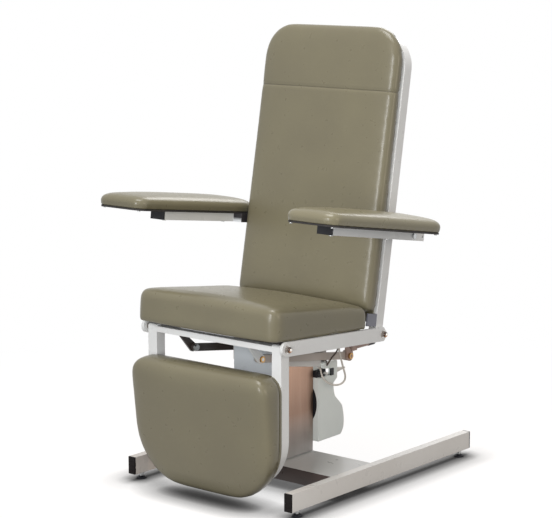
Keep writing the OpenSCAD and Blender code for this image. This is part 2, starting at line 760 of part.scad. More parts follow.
// Route of the motor cable, from its grommet in the neck round a loop and up under the seat
motor_cable_route = behind_sleeve([
  [73.8, 23.75, 315.5], [79.5, 23.15, 315.2], [87, 18.25, 310.8], [93.5, 13.25, 301.5], [100, 16.05, 286.7],
  [106, 30.45, 273.1], [113, 49.85, 265.3], [121, 67.95, 266.1], [129, 75.95, 276.3], [135, 71.75, 292.8],
  [140, 57.95, 313.8], [144, 43.95, 337.5], [147.5, 31.65, 360.8], [149.5, 22.75, 381.7], [150, 18.75, 402],
  [150, 18.75, 414]
]);
// Route of the release cable, from the lever's ear past the link bar to the head
release_cable_route = behind_sleeve([
  [211.4, 2.25, 404], [203, 2.25, 404], [186, 7.75, 407], [164, 23.75, 405.5], [145, 33.75, 398],
  [138, 35.75, 383], [138, 22.75, 369], [138, 7.75, 360], [137, -4.25, 350], [131, -6.25, 339],
  [118, 7.75, 332], [103, 25.75, 334], [91, 35.75, 338], [82, 35.75, 338]
]);

module motor_cable() {
  color(white) cord(spline(motor_cable_route, 4), cable_d);
}

release_cable_d = 4.5;
module release_cable() {
  color(black) cord(spline(release_cable_route, 3), release_cable_d);
}

gland_share = 2;
release_gland_share = 2.4;
module cable_glands() {
  motor_end = motor_cable_route[len(motor_cable_route) - 1];
  release_end = release_cable_route[len(release_cable_route) - 1];
  color(black) {
    translate(motor_end) cylinder(h = seat_z(motor_end.y + cable_d, member_w) - motor_end.z, d = cable_d * gland_share);
    bar_x(cheek_x + cheek_t, release_end.x, [release_end.y, release_end.z], release_cable_d * release_gland_share);
  }
}

// Chamfers of a rail's rear end, as shares of half its height
rail_cut_low_share = 0.5;
rail_cut_high_share = 0.67;
module seat_rail() {
  r = seat_rail_h / 2;
  tail = pivot_span + rail_tail;
  difference() {
    plate_x(seat_rail_x, seat_rail_x + seat_rail_t, concat(
      arc([r - rail_nose, 0], r, 90, 270, 16),
      [[tail - r * rail_cut_low_share, -r], [tail, -r * rail_cut_low_share],
        [tail, r - r * rail_cut_high_share], [tail - r * rail_cut_high_share, r]]));
    for (v = [0, pivot_span])
      bar_x(seat_rail_x - over, seat_rail_x + seat_rail_t + over, [v, 0], pivot_d + 2 * run_fit);
  }
}

module seat_rails() {
  color(paint) in_seat() left_and_right() seat_rail();
}

module seat_crossmembers() {
  color(paint) in_seat() for (v = [front_member_v, rear_member_v])
    tube_x([-seat_rail_x, v, member_w], [seat_rail_x, v + member_s, board_w], rail_wall);
}

seat_board_inset = 9;
seat_board_front_inset = 45;
module seat_board() {
  color(wood) in_seat() translate([0, 0, board_w]) linear_extrude(height = seat_board_t)
    polygon(round_rect([seat_board_inset - seat_rail_x, seat_board_front_inset - seat_front_lead],
      [seat_rail_x - seat_board_inset, pivot_span - seat_rear_inset - seat_board_inset], seat_board_inset));
}

seat_edge_r = 26;
seat_corner_r = 36;
seat_rear_r = 12;
module seat_cushion() {
  color(vinyl) in_seat() translate([0, -seat_front_lead, seat_rail_h / 2 + soft_gap])
    cushion(seat_cushion_w, seat_cushion_l, seat_cushion_t, seat_corner_r, seat_rear_r, seat_edge_r, seat_crown,
      taper = seat_taper);
}

washer_t = 1.5;
// Sizes of a dome nut and its washer, as shares of its diameter
nut_h_share = 0.25;
nut_hex_share = 0.95;
dome_r_share = 0.4;
washer_share = 1.15;
// A pivot bolt with its dome nut outside the rail, its shank ending inside at x_in
module pivot_bolt(v, x_in) {
  x_out = seat_rail_x + seat_rail_t + washer_t;
  translate([0, v, 0]) {
    bar_x(x_in, x_out + dome_d * nut_h_share, [0, 0], pivot_d);
    translate([x_out, 0, 0]) rotate([0, 90, 0])
      cylinder(h = dome_d * nut_h_share, d = dome_d * nut_hex_share, $fn = 6);
    translate([x_out + dome_d * nut_h_share, 0, 0]) rotate([0, 90, 0]) rotate_extrude()
      polygon(concat([[0, 0]], arc([0, 0], dome_d * dome_r_share, 0, 90, 12)));
  }
}

module washer(x0, x1, place, d, bore) {
  difference() {
    bar_x(x0, x1, place, d);
    bar_x(x0 - over, x1 + over, place, bore);
  }
}

module pivot_bolts() {
  x_out = seat_rail_x + seat_rail_t;
  color(chrome) in_seat() left_and_right() {
    pivot_bolt(0, leg_w / 2 - leg_tube);
    pivot_bolt(pivot_span, back_w / 2 - hoop_w);
    for (v = [0, pivot_span]) {
      inner = v == 0 ? leg_w / 2 : back_w / 2;
      washer(x_out, x_out + washer_t, [v, 0], dome_d * washer_share, pivot_d);
      washer(inner + slide_fit, seat_rail_x, [v, 0], dome_d, pivot_d + 2 * run_fit);
    }
  }
}

// Release lever under the right seat rail
lever_x = 203;
lever_ahead = 74;
lever_below = 33;
lever_y = rear_pivot_y - lever_ahead;
lever_z = rear_pivot_z - lever_below;
lever_pin_d = 6;
lever_ear_t = 4;
module lever_bracket() {
  ear_x = lever_x + lever_d / 2 + bolt_gap;
  y = lever_y;
  color(dark_steel) {
    difference() {
      plate_x(ear_x, ear_x + lever_ear_t, [[y - lever_d, lever_z - lever_d / 2],
        [y + lever_d / 2, lever_z - lever_d / 2], [y + lever_d / 2, seat_z(y + lever_d / 2, member_w - soft_gap)],
        [y - lever_d, seat_z(y - lever_d, member_w - soft_gap)]]);
      bar_x(ear_x - over, ear_x + lever_ear_t + over, [y, lever_z], lever_pin_d);
    }
    plate_x(ear_x + lever_ear_t, seat_rail_x, [
      [y - lever_d, seat_z(y - lever_d, member_w - soft_gap) - lever_ear_t],
      [y + lever_d / 2, seat_z(y + lever_d / 2, member_w - soft_gap) - lever_ear_t],
      [y + lever_d / 2, seat_z(y + lever_d / 2, member_w - soft_gap)],
      [y - lever_d, seat_z(y - lever_d, member_w - soft_gap)]]);
    bar_x(lever_x - lever_d / 2, ear_x + lever_ear_t, [y, lever_z], lever_pin_d);
  }
}

module release_lever() {
  color(white) difference() {
    union() {
      translate([lever_x, lever_y, lever_z]) rotate([-90, 0, 0]) cylinder(h = lever_l - grip_l, d = lever_d);
      translate([lever_x, lever_y, lever_z]) sphere(d = lever_d);
    }
    bar_x(lever_x - lever_d, lever_x + lever_d, [lever_y, lever_z], lever_pin_d + 2 * run_fit);
  }
}

module release_grip() {
  r = lever_d / 2 + bolt_gap;
  color(black) translate([lever_x, lever_y + lever_l - grip_l, lever_z]) rotate([-90, 0, 0]) rotate_extrude()
    polygon(concat([[0, 0], [r, 0]], arc([r / 2, grip_l - r / 2], r / 2, 0, 90, 6), [[0, grip_l]]));
}

// The outline of the back frame's tube, seen along the depth, from the lower ends over the top
module hoop_path(grow, low) {
  x = back_w / 2 - grow;
  w = hoop_w - 2 * grow;
  d = hoop_d - 2 * grow;
  y0 = -hoop_lead - d / 2;
  top = back_l - grow;
  bend = back_l - hoop_r;
  left_and_right() {
    box([x - w, y0, low], [x, y0 + d, bend]);
    translate([back_w / 2 - hoop_r, y0 + d, bend]) rotate([90, 0, 0])
      rotate_extrude(angle = 90) translate([hoop_r - grow - w, 0]) square([w, d]);
    box([-over, y0, top - w], [back_w / 2 - hoop_r, y0 + d, top]);
  }
}

hoop_low = -17;
pivot_boss_d = 20;
module back_hoop() {
  color(paint) in_back() difference() {
    union() {
      difference() {
        hoop_path(0, hoop_low);
        hoop_path(hoop_wall, hoop_low + hoop_wall);
      }
      left_and_right() bar_x(back_w / 2 - hoop_w + hoop_wall / 2, back_w / 2 - hoop_wall / 2, [0, 0], pivot_boss_d);
      for (s = [-1, 1]) bar_x(min(s * (back_w / 2 - hoop_wall / 2), s * (back_w / 2 - hoop_w + hoop_wall / 2)),
        max(s * (back_w / 2 - hoop_wall / 2), s * (back_w / 2 - hoop_w + hoop_wall / 2)),
        [-hoop_lead, arm_height(s)], pivot_boss_d);
    }
    left_and_right() bar_x(back_w / 2 - hoop_w - over, back_w / 2 + over, [0, 0], pivot_d + 2 * run_fit);
    for (s = [-1, 1]) bar_x(s > 0 ? back_w / 2 - hoop_w - over : -back_w / 2 - over,
      s > 0 ? back_w / 2 + over : over + hoop_w - back_w / 2, [-hoop_lead, arm_height(s)], pivot_d);
  }
}

// Height of an arm's pivot along the back: s is 1 on the right and -1 on the left
function arm_height(s) = s > 0 ? arm_up : arm_up - arm_left_drop;

low_bar_at = 30;
bar_ats = [low_bar_at, 240, 520];
module back_crossbars() {
  color(paint) in_back() for (z = bar_ats) {
    x = back_w / 2 - hoop_w;
    y1 = hoop_d / 2 - hoop_lead;
    tube_x([-x, y1 - hoop_d, z], [x, y1, z + member_s], hoop_wall);
  }
}

back_board_inset = 14;
module back_board() {
  y1 = -hoop_lead - hoop_d / 2;
  x = back_w / 2 - back_board_inset;
  r = hoop_r - back_board_inset;
  z0 = low_bar_at;
  z1 = back_l - back_board_inset;
  color(black) in_back() translate([0, y1, 0]) rotate([90, 0, 0]) linear_extrude(height = back_board_t)
    polygon(concat([[x, z0]], arc([x - r, z1 - r], r, 0, 90, 12), arc([r - x, z1 - r], r, 90, 180, 12), [[-x, z0]]));
}

back_edge_r = 22;
seam_depth = 3;
module back_cushion() {
  y1 = -hoop_lead - hoop_d / 2 - back_board_t - soft_gap;
  color(vinyl) in_back() translate([0, y1, back_cushion_low]) rotate([90, 0, 0])
    cushion(back_cushion_w, back_cushion_top - back_cushion_low, back_cushion_t, back_edge_r, back_corner_r,
      back_edge_r, back_crown, head_seam - back_cushion_low, seam_depth, back_taper);
}

// Lever plates that hang from the lower crossbar of the back, with the pins for the link bars
lever_x0 = link_x + link_t / 2 + bolt_gap;
lever_eye_d = 30;
pin_head_d = 18;
pin_head_t = 5;
function in_back_place(y, z) = [y * cos(back_lean) - z * sin(back_lean), y * sin(back_lean) + z * cos(back_lean)];
rear_pin = in_back_place(rear_pin_back, -rear_pin_down);
lever_tube_place = in_back_place(lever_tube_back, -lever_tube_down);
module back_levers() {
  r = lever_eye_d / 2;
  y1 = hoop_d / 2 - hoop_lead;
  color(dark_steel) in_back() left_and_right() {
    difference() {
      union() {
        bar_x(-over, lever_x0, lever_tube_place, lever_tube_d);
        bar_x(lever_x0, lever_x0 + lug_t, rear_pin, lever_eye_d);
        plate_x(lever_x0, lever_x0 + lug_t, [
          rear_pin + [-r, 0], rear_pin + [r, 0], [y1, low_bar_at], [y1 - hoop_d, low_bar_at]]);
      }
      bar_x(lever_x0 + lug_t - over, lever_x0 + lug_t + over, rear_pin, pin_d);
    }
    bar_x(link_x - link_t / 2 - bolt_gap, lever_x0 + lug_t + pin_head_t, rear_pin, pin_d);
    bar_x(link_x - link_t / 2 - bolt_gap - pin_head_t, link_x - link_t / 2 - bolt_gap, rear_pin, rear_eye_d);
  }
}

module lever_bushes() {
  color(brass) in_back() left_and_right()
    washer(lever_x0 + lug_t, lever_x0 + lug_t + pin_head_t, rear_pin, pin_head_d, pin_d);
}

side_plate_t = 5;
side_plate_d = 43;
side_plate_low = 20;
module back_side_plates() {
  y1 = -hoop_lead - hoop_d / 2;
  x1 = back_w / 2 - bolt_gap;
  color(grey) in_back() left_and_right()
    box([x1 - side_plate_t, y1 - side_plate_d, side_plate_low], [x1, y1, back_cushion_low - bolt_gap]);
}

arm_bolt_head_t = 6;
arm_bolt_head_share = 0.8;
module arm_bolts() {
  x_in = back_w / 2 - hoop_w;
  x_out = back_w / 2 + arm_gap + arm_tube_w;
  color(chrome) in_back() for (s = [-1, 1]) mirror([s > 0 ? 0 : 1, 0, 0]) {
    place = [-hoop_lead, arm_height(s)];
    bar_x(x_in - arm_bolt_head_t, x_out + washer_t, place, pivot_d);
    bar_x(x_in - arm_bolt_head_t, x_in, place, dome_d * arm_bolt_head_share);
    bar_x(x_out + slide_fit, x_out + arm_bolt_head_t, place, dome_d * arm_bolt_head_share);
  }
}

// The tube of the leg-rest frame: posts, lower bends and the bar between them
module leg_path(grow, top) {
  x = leg_w / 2;
  w = leg_tube - 2 * grow;
  y0 = grow - leg_lead;
  low = -leg_drop + leg_r;
  left_and_right() {
    box([x - leg_tube + grow, y0, low], [x - grow, y0 + w, top]);
    translate([x - leg_r, y0 + w, low]) rotate([90, 0, 0]) rotate([0, 0, -90])
      rotate_extrude(angle = 90) translate([leg_r - leg_tube + grow, 0]) square([w, w]);
    box([-over, y0, grow - leg_drop], [x - leg_r, y0 + w, leg_tube - grow - leg_drop]);
  }
}

knuckle_low = 14;
crossbar_d = 25;
module legrest_frame() {
  x = leg_w / 2;
  color(paint) in_leg() {
    difference() {
      union() {
        difference() {
          leg_path(0, -knuckle_low);
          leg_path(leg_wall, -knuckle_low - leg_wall);
        }
        left_and_right() plate_x(x - leg_tube, x, concat(
          [[leg_tube - leg_lead, -knuckle_low]], arc([0, 0], leg_lead, 0, 180, 12), [[-leg_lead, -knuckle_low]]));
      }
      left_and_right() bar_x(x - leg_tube - over, x + over, [0, 0], pivot_d + 2 * run_fit);
    }
    tube_x([leg_tube - x, -leg_lead, -knuckle_low + leg_wall], [x - leg_tube, crossbar_d - leg_lead,
      crossbar_h - knuckle_low + leg_wall], leg_wall);
  }
}

leg_board_inset = 6;
module legrest_board() {
  x = leg_pad_w / 2 - leg_board_inset;
  r = leg_pad_r - leg_board_inset;
  top_r = leg_top_r - leg_board_inset;
  z0 = leg_board_inset - leg_pad_low;
  z1 = -leg_board_inset - leg_pad_top;
  color(black) in_leg() translate([0, -leg_lead, 0]) rotate([90, 0, 0]) linear_extrude(height = leg_board_t)
    polygon(concat(
      arc([x - top_r, z1 - top_r], top_r, 0, 90), arc([top_r - x, z1 - top_r], top_r, 90, 180),
      arc([r - x, z0 + r], r, 180, 270, 16), arc([x - r, z0 + r], r, 270, 360, 16)));
}

module legrest_pad() {
  color(vinyl) in_leg() translate([0, -leg_lead - leg_board_t - soft_gap, -leg_pad_low]) rotate([90, 0, 0])
    cushion(leg_pad_w, leg_pad_l, leg_pad_t - leg_taper, leg_pad_r, leg_top_r, leg_edge_r, leg_crown,
      taper = -leg_taper, end_r = leg_top_edge_r);
}

front_pin = [front_pin_back, -front_pin_down];
front_eye_d = 26;
lug_turn = 45;
module legrest_lugs() {
  r = front_eye_d / 2;
  z0 = leg_wall - knuckle_low;
  color(dark_steel) in_leg() left_and_right() difference() {
    union() {
      bar_x(lever_x0, lever_x0 + lug_t, front_pin, front_eye_d);
      plate_x(lever_x0, lever_x0 + lug_t, [
        front_pin - r * [cos(lug_turn), sin(lug_turn)], front_pin + r * [cos(lug_turn), sin(lug_turn)],
        [crossbar_d - leg_lead, z0], [-leg_lead + leg_wall, z0]]);
    }
    bar_x(lever_x0 - over, lever_x0 + lug_t + over, front_pin, pin_d);
  }
}

link_washer_share = 1.2;
module legrest_pins() {
  x0 = link_x - link_t / 2 - bolt_gap;
  color(chrome) in_leg() left_and_right() {
    bar_x(x0, lever_x0 + lug_t + pin_head_t, front_pin, pin_d);
    bar_x(x0 - washer_t, x0, front_pin, pin_head_d * link_washer_share);
    translate([x0 - washer_t - pin_head_t, front_pin.x, front_pin.y]) rotate([0, 90, 0])
      cylinder(h = pin_head_t, d = pin_head_d, $fn = 6);
  }
}

module legrest_bushes() {
  color(brass) in_leg() left_and_right()
    washer(lever_x0 + lug_t, lever_x0 + lug_t + pin_head_t, front_pin, pin_head_d, pin_d);
}

// A link bar between the front pin of the leg rest and the rear pin of the back
link_front = [front_pivot_y + front_pin_back, front_pivot_z - front_pin_down];
link_rear = [rear_pivot_y + rear_pin_back, rear_pivot_z - rear_pin_down];
link_l = norm(link_rear - link_front);
link_angle = atan2(link_rear.y - link_front.y, link_rear.x - link_front.x);
module link_bar() {
  translate([0, link_front.x, link_front.y]) rotate([link_angle, 0, 0]) difference() {
    union() {
      box([link_x - link_t / 2, 0, -link_h / 2], [link_x + link_t / 2, link_l, link_h / 2]);
      bar_x(link_x - link_t / 2, link_x + link_t / 2, [0, 0], link_h);
      bar_x(link_x - link_t / 2, link_x + link_t / 2, [link_l, 0], rear_eye_d);
    }
    bar_x(link_x - link_t, link_x + link_t, [0, 0], pin_d + 2 * run_fit);
    bar_x(link_x - link_t, link_x + link_t, [link_l, 0], pin_d + 2 * rear_eye_play);
  }
}

module link_left() {
  color(dark_steel) mirror([1, 0, 0]) link_bar();
}

module link_right() {
  color(dark_steel) link_bar();
}

// Gas spring between the head's pin and the cross tube of the back's levers
gas_start = [gas_anchor_y, gas_anchor_z];
gas_end = [rear_pivot_y + lever_tube_back, rear_pivot_z - lever_tube_down];
gas_span = norm(gas_end - gas_start);
gas_angle = atan2(gas_end.y - gas_start.y, gas_end.x - gas_start.x);
gas_eye_w = 16;
gas_eye_play = 3.6;
gas_eye_share = 0.9;
module in_gas() {
  translate([0, gas_start.x, gas_start.y]) rotate([gas_angle, 0, 0]) children();
}

module gas_cylinder() {
  color(black) in_gas() difference() {
    union() {
      translate([0, gas_d / 2, 0]) rotate([-90, 0, 0]) cylinder(h = gas_l, d = gas_d);
      bar_x(-gas_eye_w / 2, gas_eye_w / 2, [0, 0], gas_d * gas_eye_share);
      box([-gas_eye_w / 2, 0, -gas_d / 4], [gas_eye_w / 2, gas_d / 2 + over, gas_d / 4]);
    }
    bar_x(-gas_eye_w, gas_eye_w, [0, 0], pin_d + 2 * run_fit);
    translate([0, gas_d, 0]) rotate([-90, 0, 0]) cylinder(h = gas_l, d = gas_rod_d + 2 * slide_fit);
  }
}

module gas_rod() {
  eye = lever_tube_d + 2 * gas_eye_play;
  color(chrome) in_gas() difference() {
    union() {
      translate([0, gas_l * gas_rod_in_share, 0]) rotate([-90, 0, 0])
        cylinder(h = gas_span - gas_l * gas_rod_in_share, d = gas_rod_d);
      bar_x(-gas_eye_w / 2, gas_eye_w / 2, [gas_span, 0], eye + gas_rod_d);
    }
    bar_x(-gas_eye_w, gas_eye_w, [gas_span, 0], eye);
  }
}
gas_rod_in_share = 0.6;

// The frame of an arm: s is 1 on the right and -1 on the left
module in_arm(s) {
  in_back() mirror([s > 0 ? 0 : 1, 0, 0]) translate([0, -hoop_lead, arm_height(s)])
    rotate([back_lean - (s > 0 ? arm_right_rise : arm_left_rise), 0, 0]) children();
}
arm_x0 = back_w / 2 + arm_gap;
arm_hole_back = 7;

module arm_tube(s) {
  color(paint) in_arm(s) difference() {
    box([arm_x0, cap_t - arm_front, -arm_tube_h / 2], [arm_x0 + arm_tube_w, arm_rear, arm_tube_h / 2]);
    box([arm_x0 + arm_wall, cap_t - arm_front - over, arm_wall - arm_tube_h / 2],
      [arm_x0 + arm_tube_w - arm_wall, arm_rear - arm_wall, arm_tube_h / 2 - arm_wall]);
    bar_x(arm_x0 - over, arm_x0 + arm_tube_w + over, [0, 0], pivot_d + 2 * run_fit);
    bar_x(arm_x0 - over, arm_x0 + arm_tube_w + over, [arm_rear - arm_hole_back, 0], lever_pin_d);
  }
}

module arm_cap(s) {
  t = arm_wall + soft_gap;
  color(black) in_arm(s) {
    box([arm_x0, -arm_front, -arm_tube_h / 2], [arm_x0 + arm_tube_w, cap_t - arm_front, arm_tube_h / 2]);
    box([arm_x0 + t, cap_t - arm_front - over, t - arm_tube_h / 2],
      [arm_x0 + arm_tube_w - t, cap_t - arm_front + cap_plug, arm_tube_h / 2 - t]);
  }
}

arm_bracket_l = 90;
arm_bracket_lead_share = 0.78;
module arm_bracket(s) {
  y0 = -arm_bracket_l * arm_bracket_lead_share;
  color(dark_steel) in_arm(s) difference() {
    box([back_w / 2 + bolt_gap, y0, -arm_tube_h / 2], [arm_x0, y0 + arm_bracket_l, arm_tube_h / 2]);
    bar_x(back_w / 2, arm_x0 + over, [0, 0], pivot_d + 2 * run_fit);
  }
}

// The frame of an arm pad: its front middle at the height of the tube's top
module in_pad(s) {
  in_arm(s) translate([arm_x0 + arm_tube_w / 2 + arm_pad_shift, -arm_front - arm_pad_lead, arm_tube_h / 2])
    children();
}

arm_corner_r = 38;
plate_inset = 7;
module arm_plate(s) {
  x = arm_pad_w / 2 - plate_inset;
  color(black) in_pad(s) linear_extrude(height = arm_plate_t)
    polygon(round_rect([-x, plate_inset], [x, arm_pad_l - plate_inset], arm_corner_r - plate_inset));
}

arm_edge_r = 19;
module arm_pad(s) {
  color(vinyl) in_pad(s) translate([0, 0, arm_plate_t + soft_gap])
    cushion(arm_pad_w, arm_pad_l, arm_pad_t, arm_corner_r, arm_corner_r, arm_edge_r, arm_crown);
}

screw_d = 8;
screw_h = 3;
screw_inset = 22;
tube_screw_share = 1.4;
tube_screw_inset = 30;
arm_screw_ys = [tube_screw_inset - arm_front, -arm_bracket_l];
module arm_screws(s) {
  x = arm_pad_w / 2 - screw_inset;
  color(dark_steel) {
    in_pad(s) for (p = [[-x, screw_inset], [x, screw_inset], [x, arm_pad_l - screw_inset]])
      translate([p.x, p.y, -screw_h]) cylinder(h = screw_h, d = screw_d);
    in_arm(s) for (y = arm_screw_ys)
      translate([arm_x0 + arm_tube_w / 2, y, -arm_tube_h / 2 - screw_h]) cylinder(h = screw_h, d = screw_d * tube_screw_share);
  }
}

module arm_tube_left() { arm_tube(-1); }
module arm_cap_left() { arm_cap(-1); }
module arm_bracket_left() { arm_bracket(-1); }
module arm_plate_left() { arm_plate(-1); }
module arm_pad_left() { arm_pad(-1); }
module arm_screws_left() { arm_screws(-1); }
module arm_tube_right() { arm_tube(1); }
module arm_cap_right() { arm_cap(1); }
module arm_bracket_right() { arm_bracket(1); }
module arm_plate_right() { arm_plate(1); }
module arm_pad_right() { arm_pad(1); }
module arm_screws_right() { arm_screws(1); }

base_rail_left();
base_rail_right();
rail_end_caps();
cross_channel();
foot_studs();
foot_pads();
column_sleeve();
column_glides();
column_foot();
lift_nut_tube();
column_inner();
column_shoes();
lift_head();
lift_spindle();
lift_gearbox();
motor_housing();
motor_can();
plugs_black();
plugs_white();
motor_cable();
cable_glands();
seat_rails();
seat_crossmembers();
seat_board();
seat_cushion();
pivot_bolts();
lever_bracket();
release_cable();
release_lever();
release_grip();
back_hoop();
back_crossbars();
back_board();
back_cushion();
back_levers();
back_side_plates();
lever_bushes();
arm_bolts();
legrest_frame();
legrest_board();
legrest_pad();
legrest_lugs();
legrest_pins();
legrest_bushes();
link_left();
link_right();
gas_cylinder();
gas_rod();
arm_tube_left();
arm_cap_left();
arm_bracket_left();
arm_plate_left();
arm_pad_left();
arm_screws_left();
arm_tube_right();
arm_cap_right();
arm_bracket_right();
arm_plate_right();
arm_pad_right();
arm_screws_right();
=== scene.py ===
"""Phlebotomy chair: materials, cables, sewn cushions and studio, over the frame of the CAD solids."""
import bpy
import bmesh
import math
import numpy as np
from mathutils import Matrix, Vector
from mathutils.bvhtree import BVHTree

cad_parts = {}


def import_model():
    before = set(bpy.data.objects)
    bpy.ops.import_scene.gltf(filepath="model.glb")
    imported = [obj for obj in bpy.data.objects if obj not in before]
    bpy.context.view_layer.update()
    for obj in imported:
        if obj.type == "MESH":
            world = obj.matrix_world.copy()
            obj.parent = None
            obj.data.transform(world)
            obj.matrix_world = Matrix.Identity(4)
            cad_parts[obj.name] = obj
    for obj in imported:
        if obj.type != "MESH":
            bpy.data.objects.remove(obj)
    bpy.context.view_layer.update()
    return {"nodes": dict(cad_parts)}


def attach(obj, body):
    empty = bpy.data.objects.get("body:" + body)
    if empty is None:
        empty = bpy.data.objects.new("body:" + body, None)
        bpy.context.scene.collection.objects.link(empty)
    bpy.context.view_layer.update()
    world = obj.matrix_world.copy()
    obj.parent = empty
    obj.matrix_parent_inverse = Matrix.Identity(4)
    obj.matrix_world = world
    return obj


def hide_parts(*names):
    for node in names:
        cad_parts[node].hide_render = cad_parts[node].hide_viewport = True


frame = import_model()
nodes = frame["nodes"]
MM = 0.001
X, Y, Z = 0, 1, 2

# datums of part.scad, in millimetres and degrees
FRONT_PIVOT = (0, -364.2736, 457)
REAR_PIVOT = (0, 67.7264, 429.06)
SLEEVE_REAR = -20.1736
SEAT_TILT = 3.7
BACK_LEAN = 9.9
ARM_RISE = {"left": 7.3, "right": 9.1}
ARM_PIVOT_UP = {"left": 284.0, "right": 288.0}
# the head cushion's sewn line, in metres up the back from its foot
HEAD_SEAM_UP = 0.685


# ---------------------------------------------------------------- camera
CAMERA_AT = (3.3697, -4.18462, 1.5427)
# degrees that it looks to the left of +Y, and below level
CAMERA_TURN, CAMERA_DOWN = 39.52, 9.67
LENS_MM, SENSOR_MM = 122.94, 36.0


def set_camera():
    az, down = math.radians(CAMERA_TURN), math.radians(CAMERA_DOWN)
    ahead = Vector((-math.sin(az) * math.cos(down), math.cos(az) * math.cos(down), -math.sin(down)))
    data = bpy.data.cameras.new("camera")
    data.sensor_width = SENSOR_MM
    data.sensor_fit = "HORIZONTAL"
    data.lens = LENS_MM
    data.clip_end = 60.0
    cam = bpy.data.objects.new("camera", data)
    cam.location = CAMERA_AT
    cam.rotation_euler = ahead.to_track_quat("-Z", "Y").to_euler()
    bpy.context.scene.collection.objects.link(cam)
    bpy.context.scene.camera = cam


set_camera()


# ---------------------------------------------------------------- node helpers
class Nodes:
    """Short calls for the nodes of one tree."""

    def __init__(self, tree):
        self.t = tree
        self.t.nodes.clear()

    def n(self, kind, props=None, **inputs):
        """A node; its inputs are given by name, or as i0, i1 and so on."""
        node = self.t.nodes.new(kind)
        for k, v in (props or {}).items():
            setattr(node, k, v)
        for k, v in inputs.items():
            by_number = k[0] == "i" and k[1:].isdigit()
            self.put(node.inputs[int(k[1:]) if by_number else k.replace("_", " ")], v)
        return node

    def put(self, socket, v):
        if isinstance(v, bpy.types.NodeSocket):
            self.t.links.new(v, socket)
        else:
            socket.default_value = v

    def math(self, op, a, b=0.5, clamp=False):
        return self.n("ShaderNodeMath", {"operation": op, "use_clamp": clamp}, i0=a, i1=b).outputs[0]

    def times(self, a, b):
        return self.math("MULTIPLY", a, b)

    def vector(self, op, *values):
        inputs = {"i%d" % i: v for i, v in enumerate(values)}
        return self.n("ShaderNodeVectorMath", {"operation": op}, **inputs).outputs

    def background_ray(self):
        """1 where the backdrop shows: straight, in a mirror or through glass."""
        ray = self.n("ShaderNodeLightPath").outputs
        other = self.math("ADD", ray["Is Glossy Ray"], ray["Is Transmission Ray"])
        return self.math("ADD", ray["Is Camera Ray"], other, clamp=True)


class Mat(Nodes):
    """A procedural material under construction."""

    def __init__(self, name, **principled):
        self.m = bpy.data.materials.new(name)
        self.m.use_nodes = True
        super().__init__(self.m.node_tree)
        self.b = self.n("ShaderNodeBsdfPrincipled", **principled)
        self.n("ShaderNodeOutputMaterial", Surface=self.b.outputs[0])
        self.co = self.n("ShaderNodeTexCoord").outputs["Object"]

    def set(self, name, v):
        self.put(self.b.inputs[name], v)

    def scaled(self, x, y, z):
        return self.n("ShaderNodeMapping", i0=self.co, i3=(x, y, z)).outputs[0]

    def noise(self, scale, detail=3.0, rough=0.5, co=None, distort=0.0):
        return self.n("ShaderNodeTexNoise", Vector=co or self.co, Scale=scale, Detail=detail,
                      Roughness=rough, Distortion=distort).outputs[0]

    def span(self, v, a, b, c=0.0, d=1.0):
        """v from a to b becomes c to d, and stays within them."""
        return self.n("ShaderNodeMapRange", i0=v, i1=a, i2=b, i3=c, i4=d).outputs[0]

    def mix(self, fac, a, b):
        return self.n("ShaderNodeMix", {"data_type": "RGBA"}, i0=fac, i6=a, i7=b).outputs[2]

    def xyz(self, co=None):
        return self.n("ShaderNodeSeparateXYZ", i0=co or self.co).outputs

    def facing(self):
        """X, Y and Z of the way the surface faces, in the node's own frame."""
        return self.xyz(self.n("ShaderNodeTexCoord").outputs["Normal"])

    def clouds(self, scale, detail=4.0, rough=0.5):
        return self.span(self.noise(scale, detail, rough), 0.35, 0.7)

    def edge(self, radius, gain):
        """1 on convex and concave edges, 0 on open faces."""
        bev = self.n("ShaderNodeBevel", {"samples": 6}, Radius=radius).outputs[0]
        flat = self.n("ShaderNodeNewGeometry").outputs["Normal"]
        dot = self.vector("DOT_PRODUCT", bev, flat)["Value"]
        return self.math("MULTIPLY", self.math("SUBTRACT", 1.0, dot), gain, clamp=True)

    def wear(self, radius, gain, scale, low, high):
        """1 where an edge is rubbed, broken up by noise."""
        return self.times(self.edge(radius, gain), self.span(self.noise(scale, 5.0, 0.7), low, high))

    def scratches(self):
        return self.noise(1.0, 2.0, 0.5, self.scaled(260.0, 900.0, 420.0))

    def rough(self, v, low, high, a=0.3, b=0.7):
        self.set("Roughness", self.span(v, a, b, low, high))

    def bump(self, height, strength, distance, round_edge):
        """A fine relief over edges that catch the light as if they were rounded."""
        bev = self.n("ShaderNodeBevel", {"samples": 4}, Radius=round_edge).outputs[0]
        self.relief(height, strength, distance, bev)

    def relief(self, height, strength, distance, under):
        node = self.n("ShaderNodeBump", Height=height, Strength=strength, Distance=distance, Normal=under)
        self.set("Normal", node.outputs[0])


def rgb(r, g, b):
    """A colour written as it shows on screen, 0 to 255, as linear values."""
    def lin(c):
        c /= 255.0
        return c / 12.92 if c <= 0.04045 else ((c + 0.055) / 1.055) ** 2.4
    return (lin(r), lin(g), lin(b), 1.0)


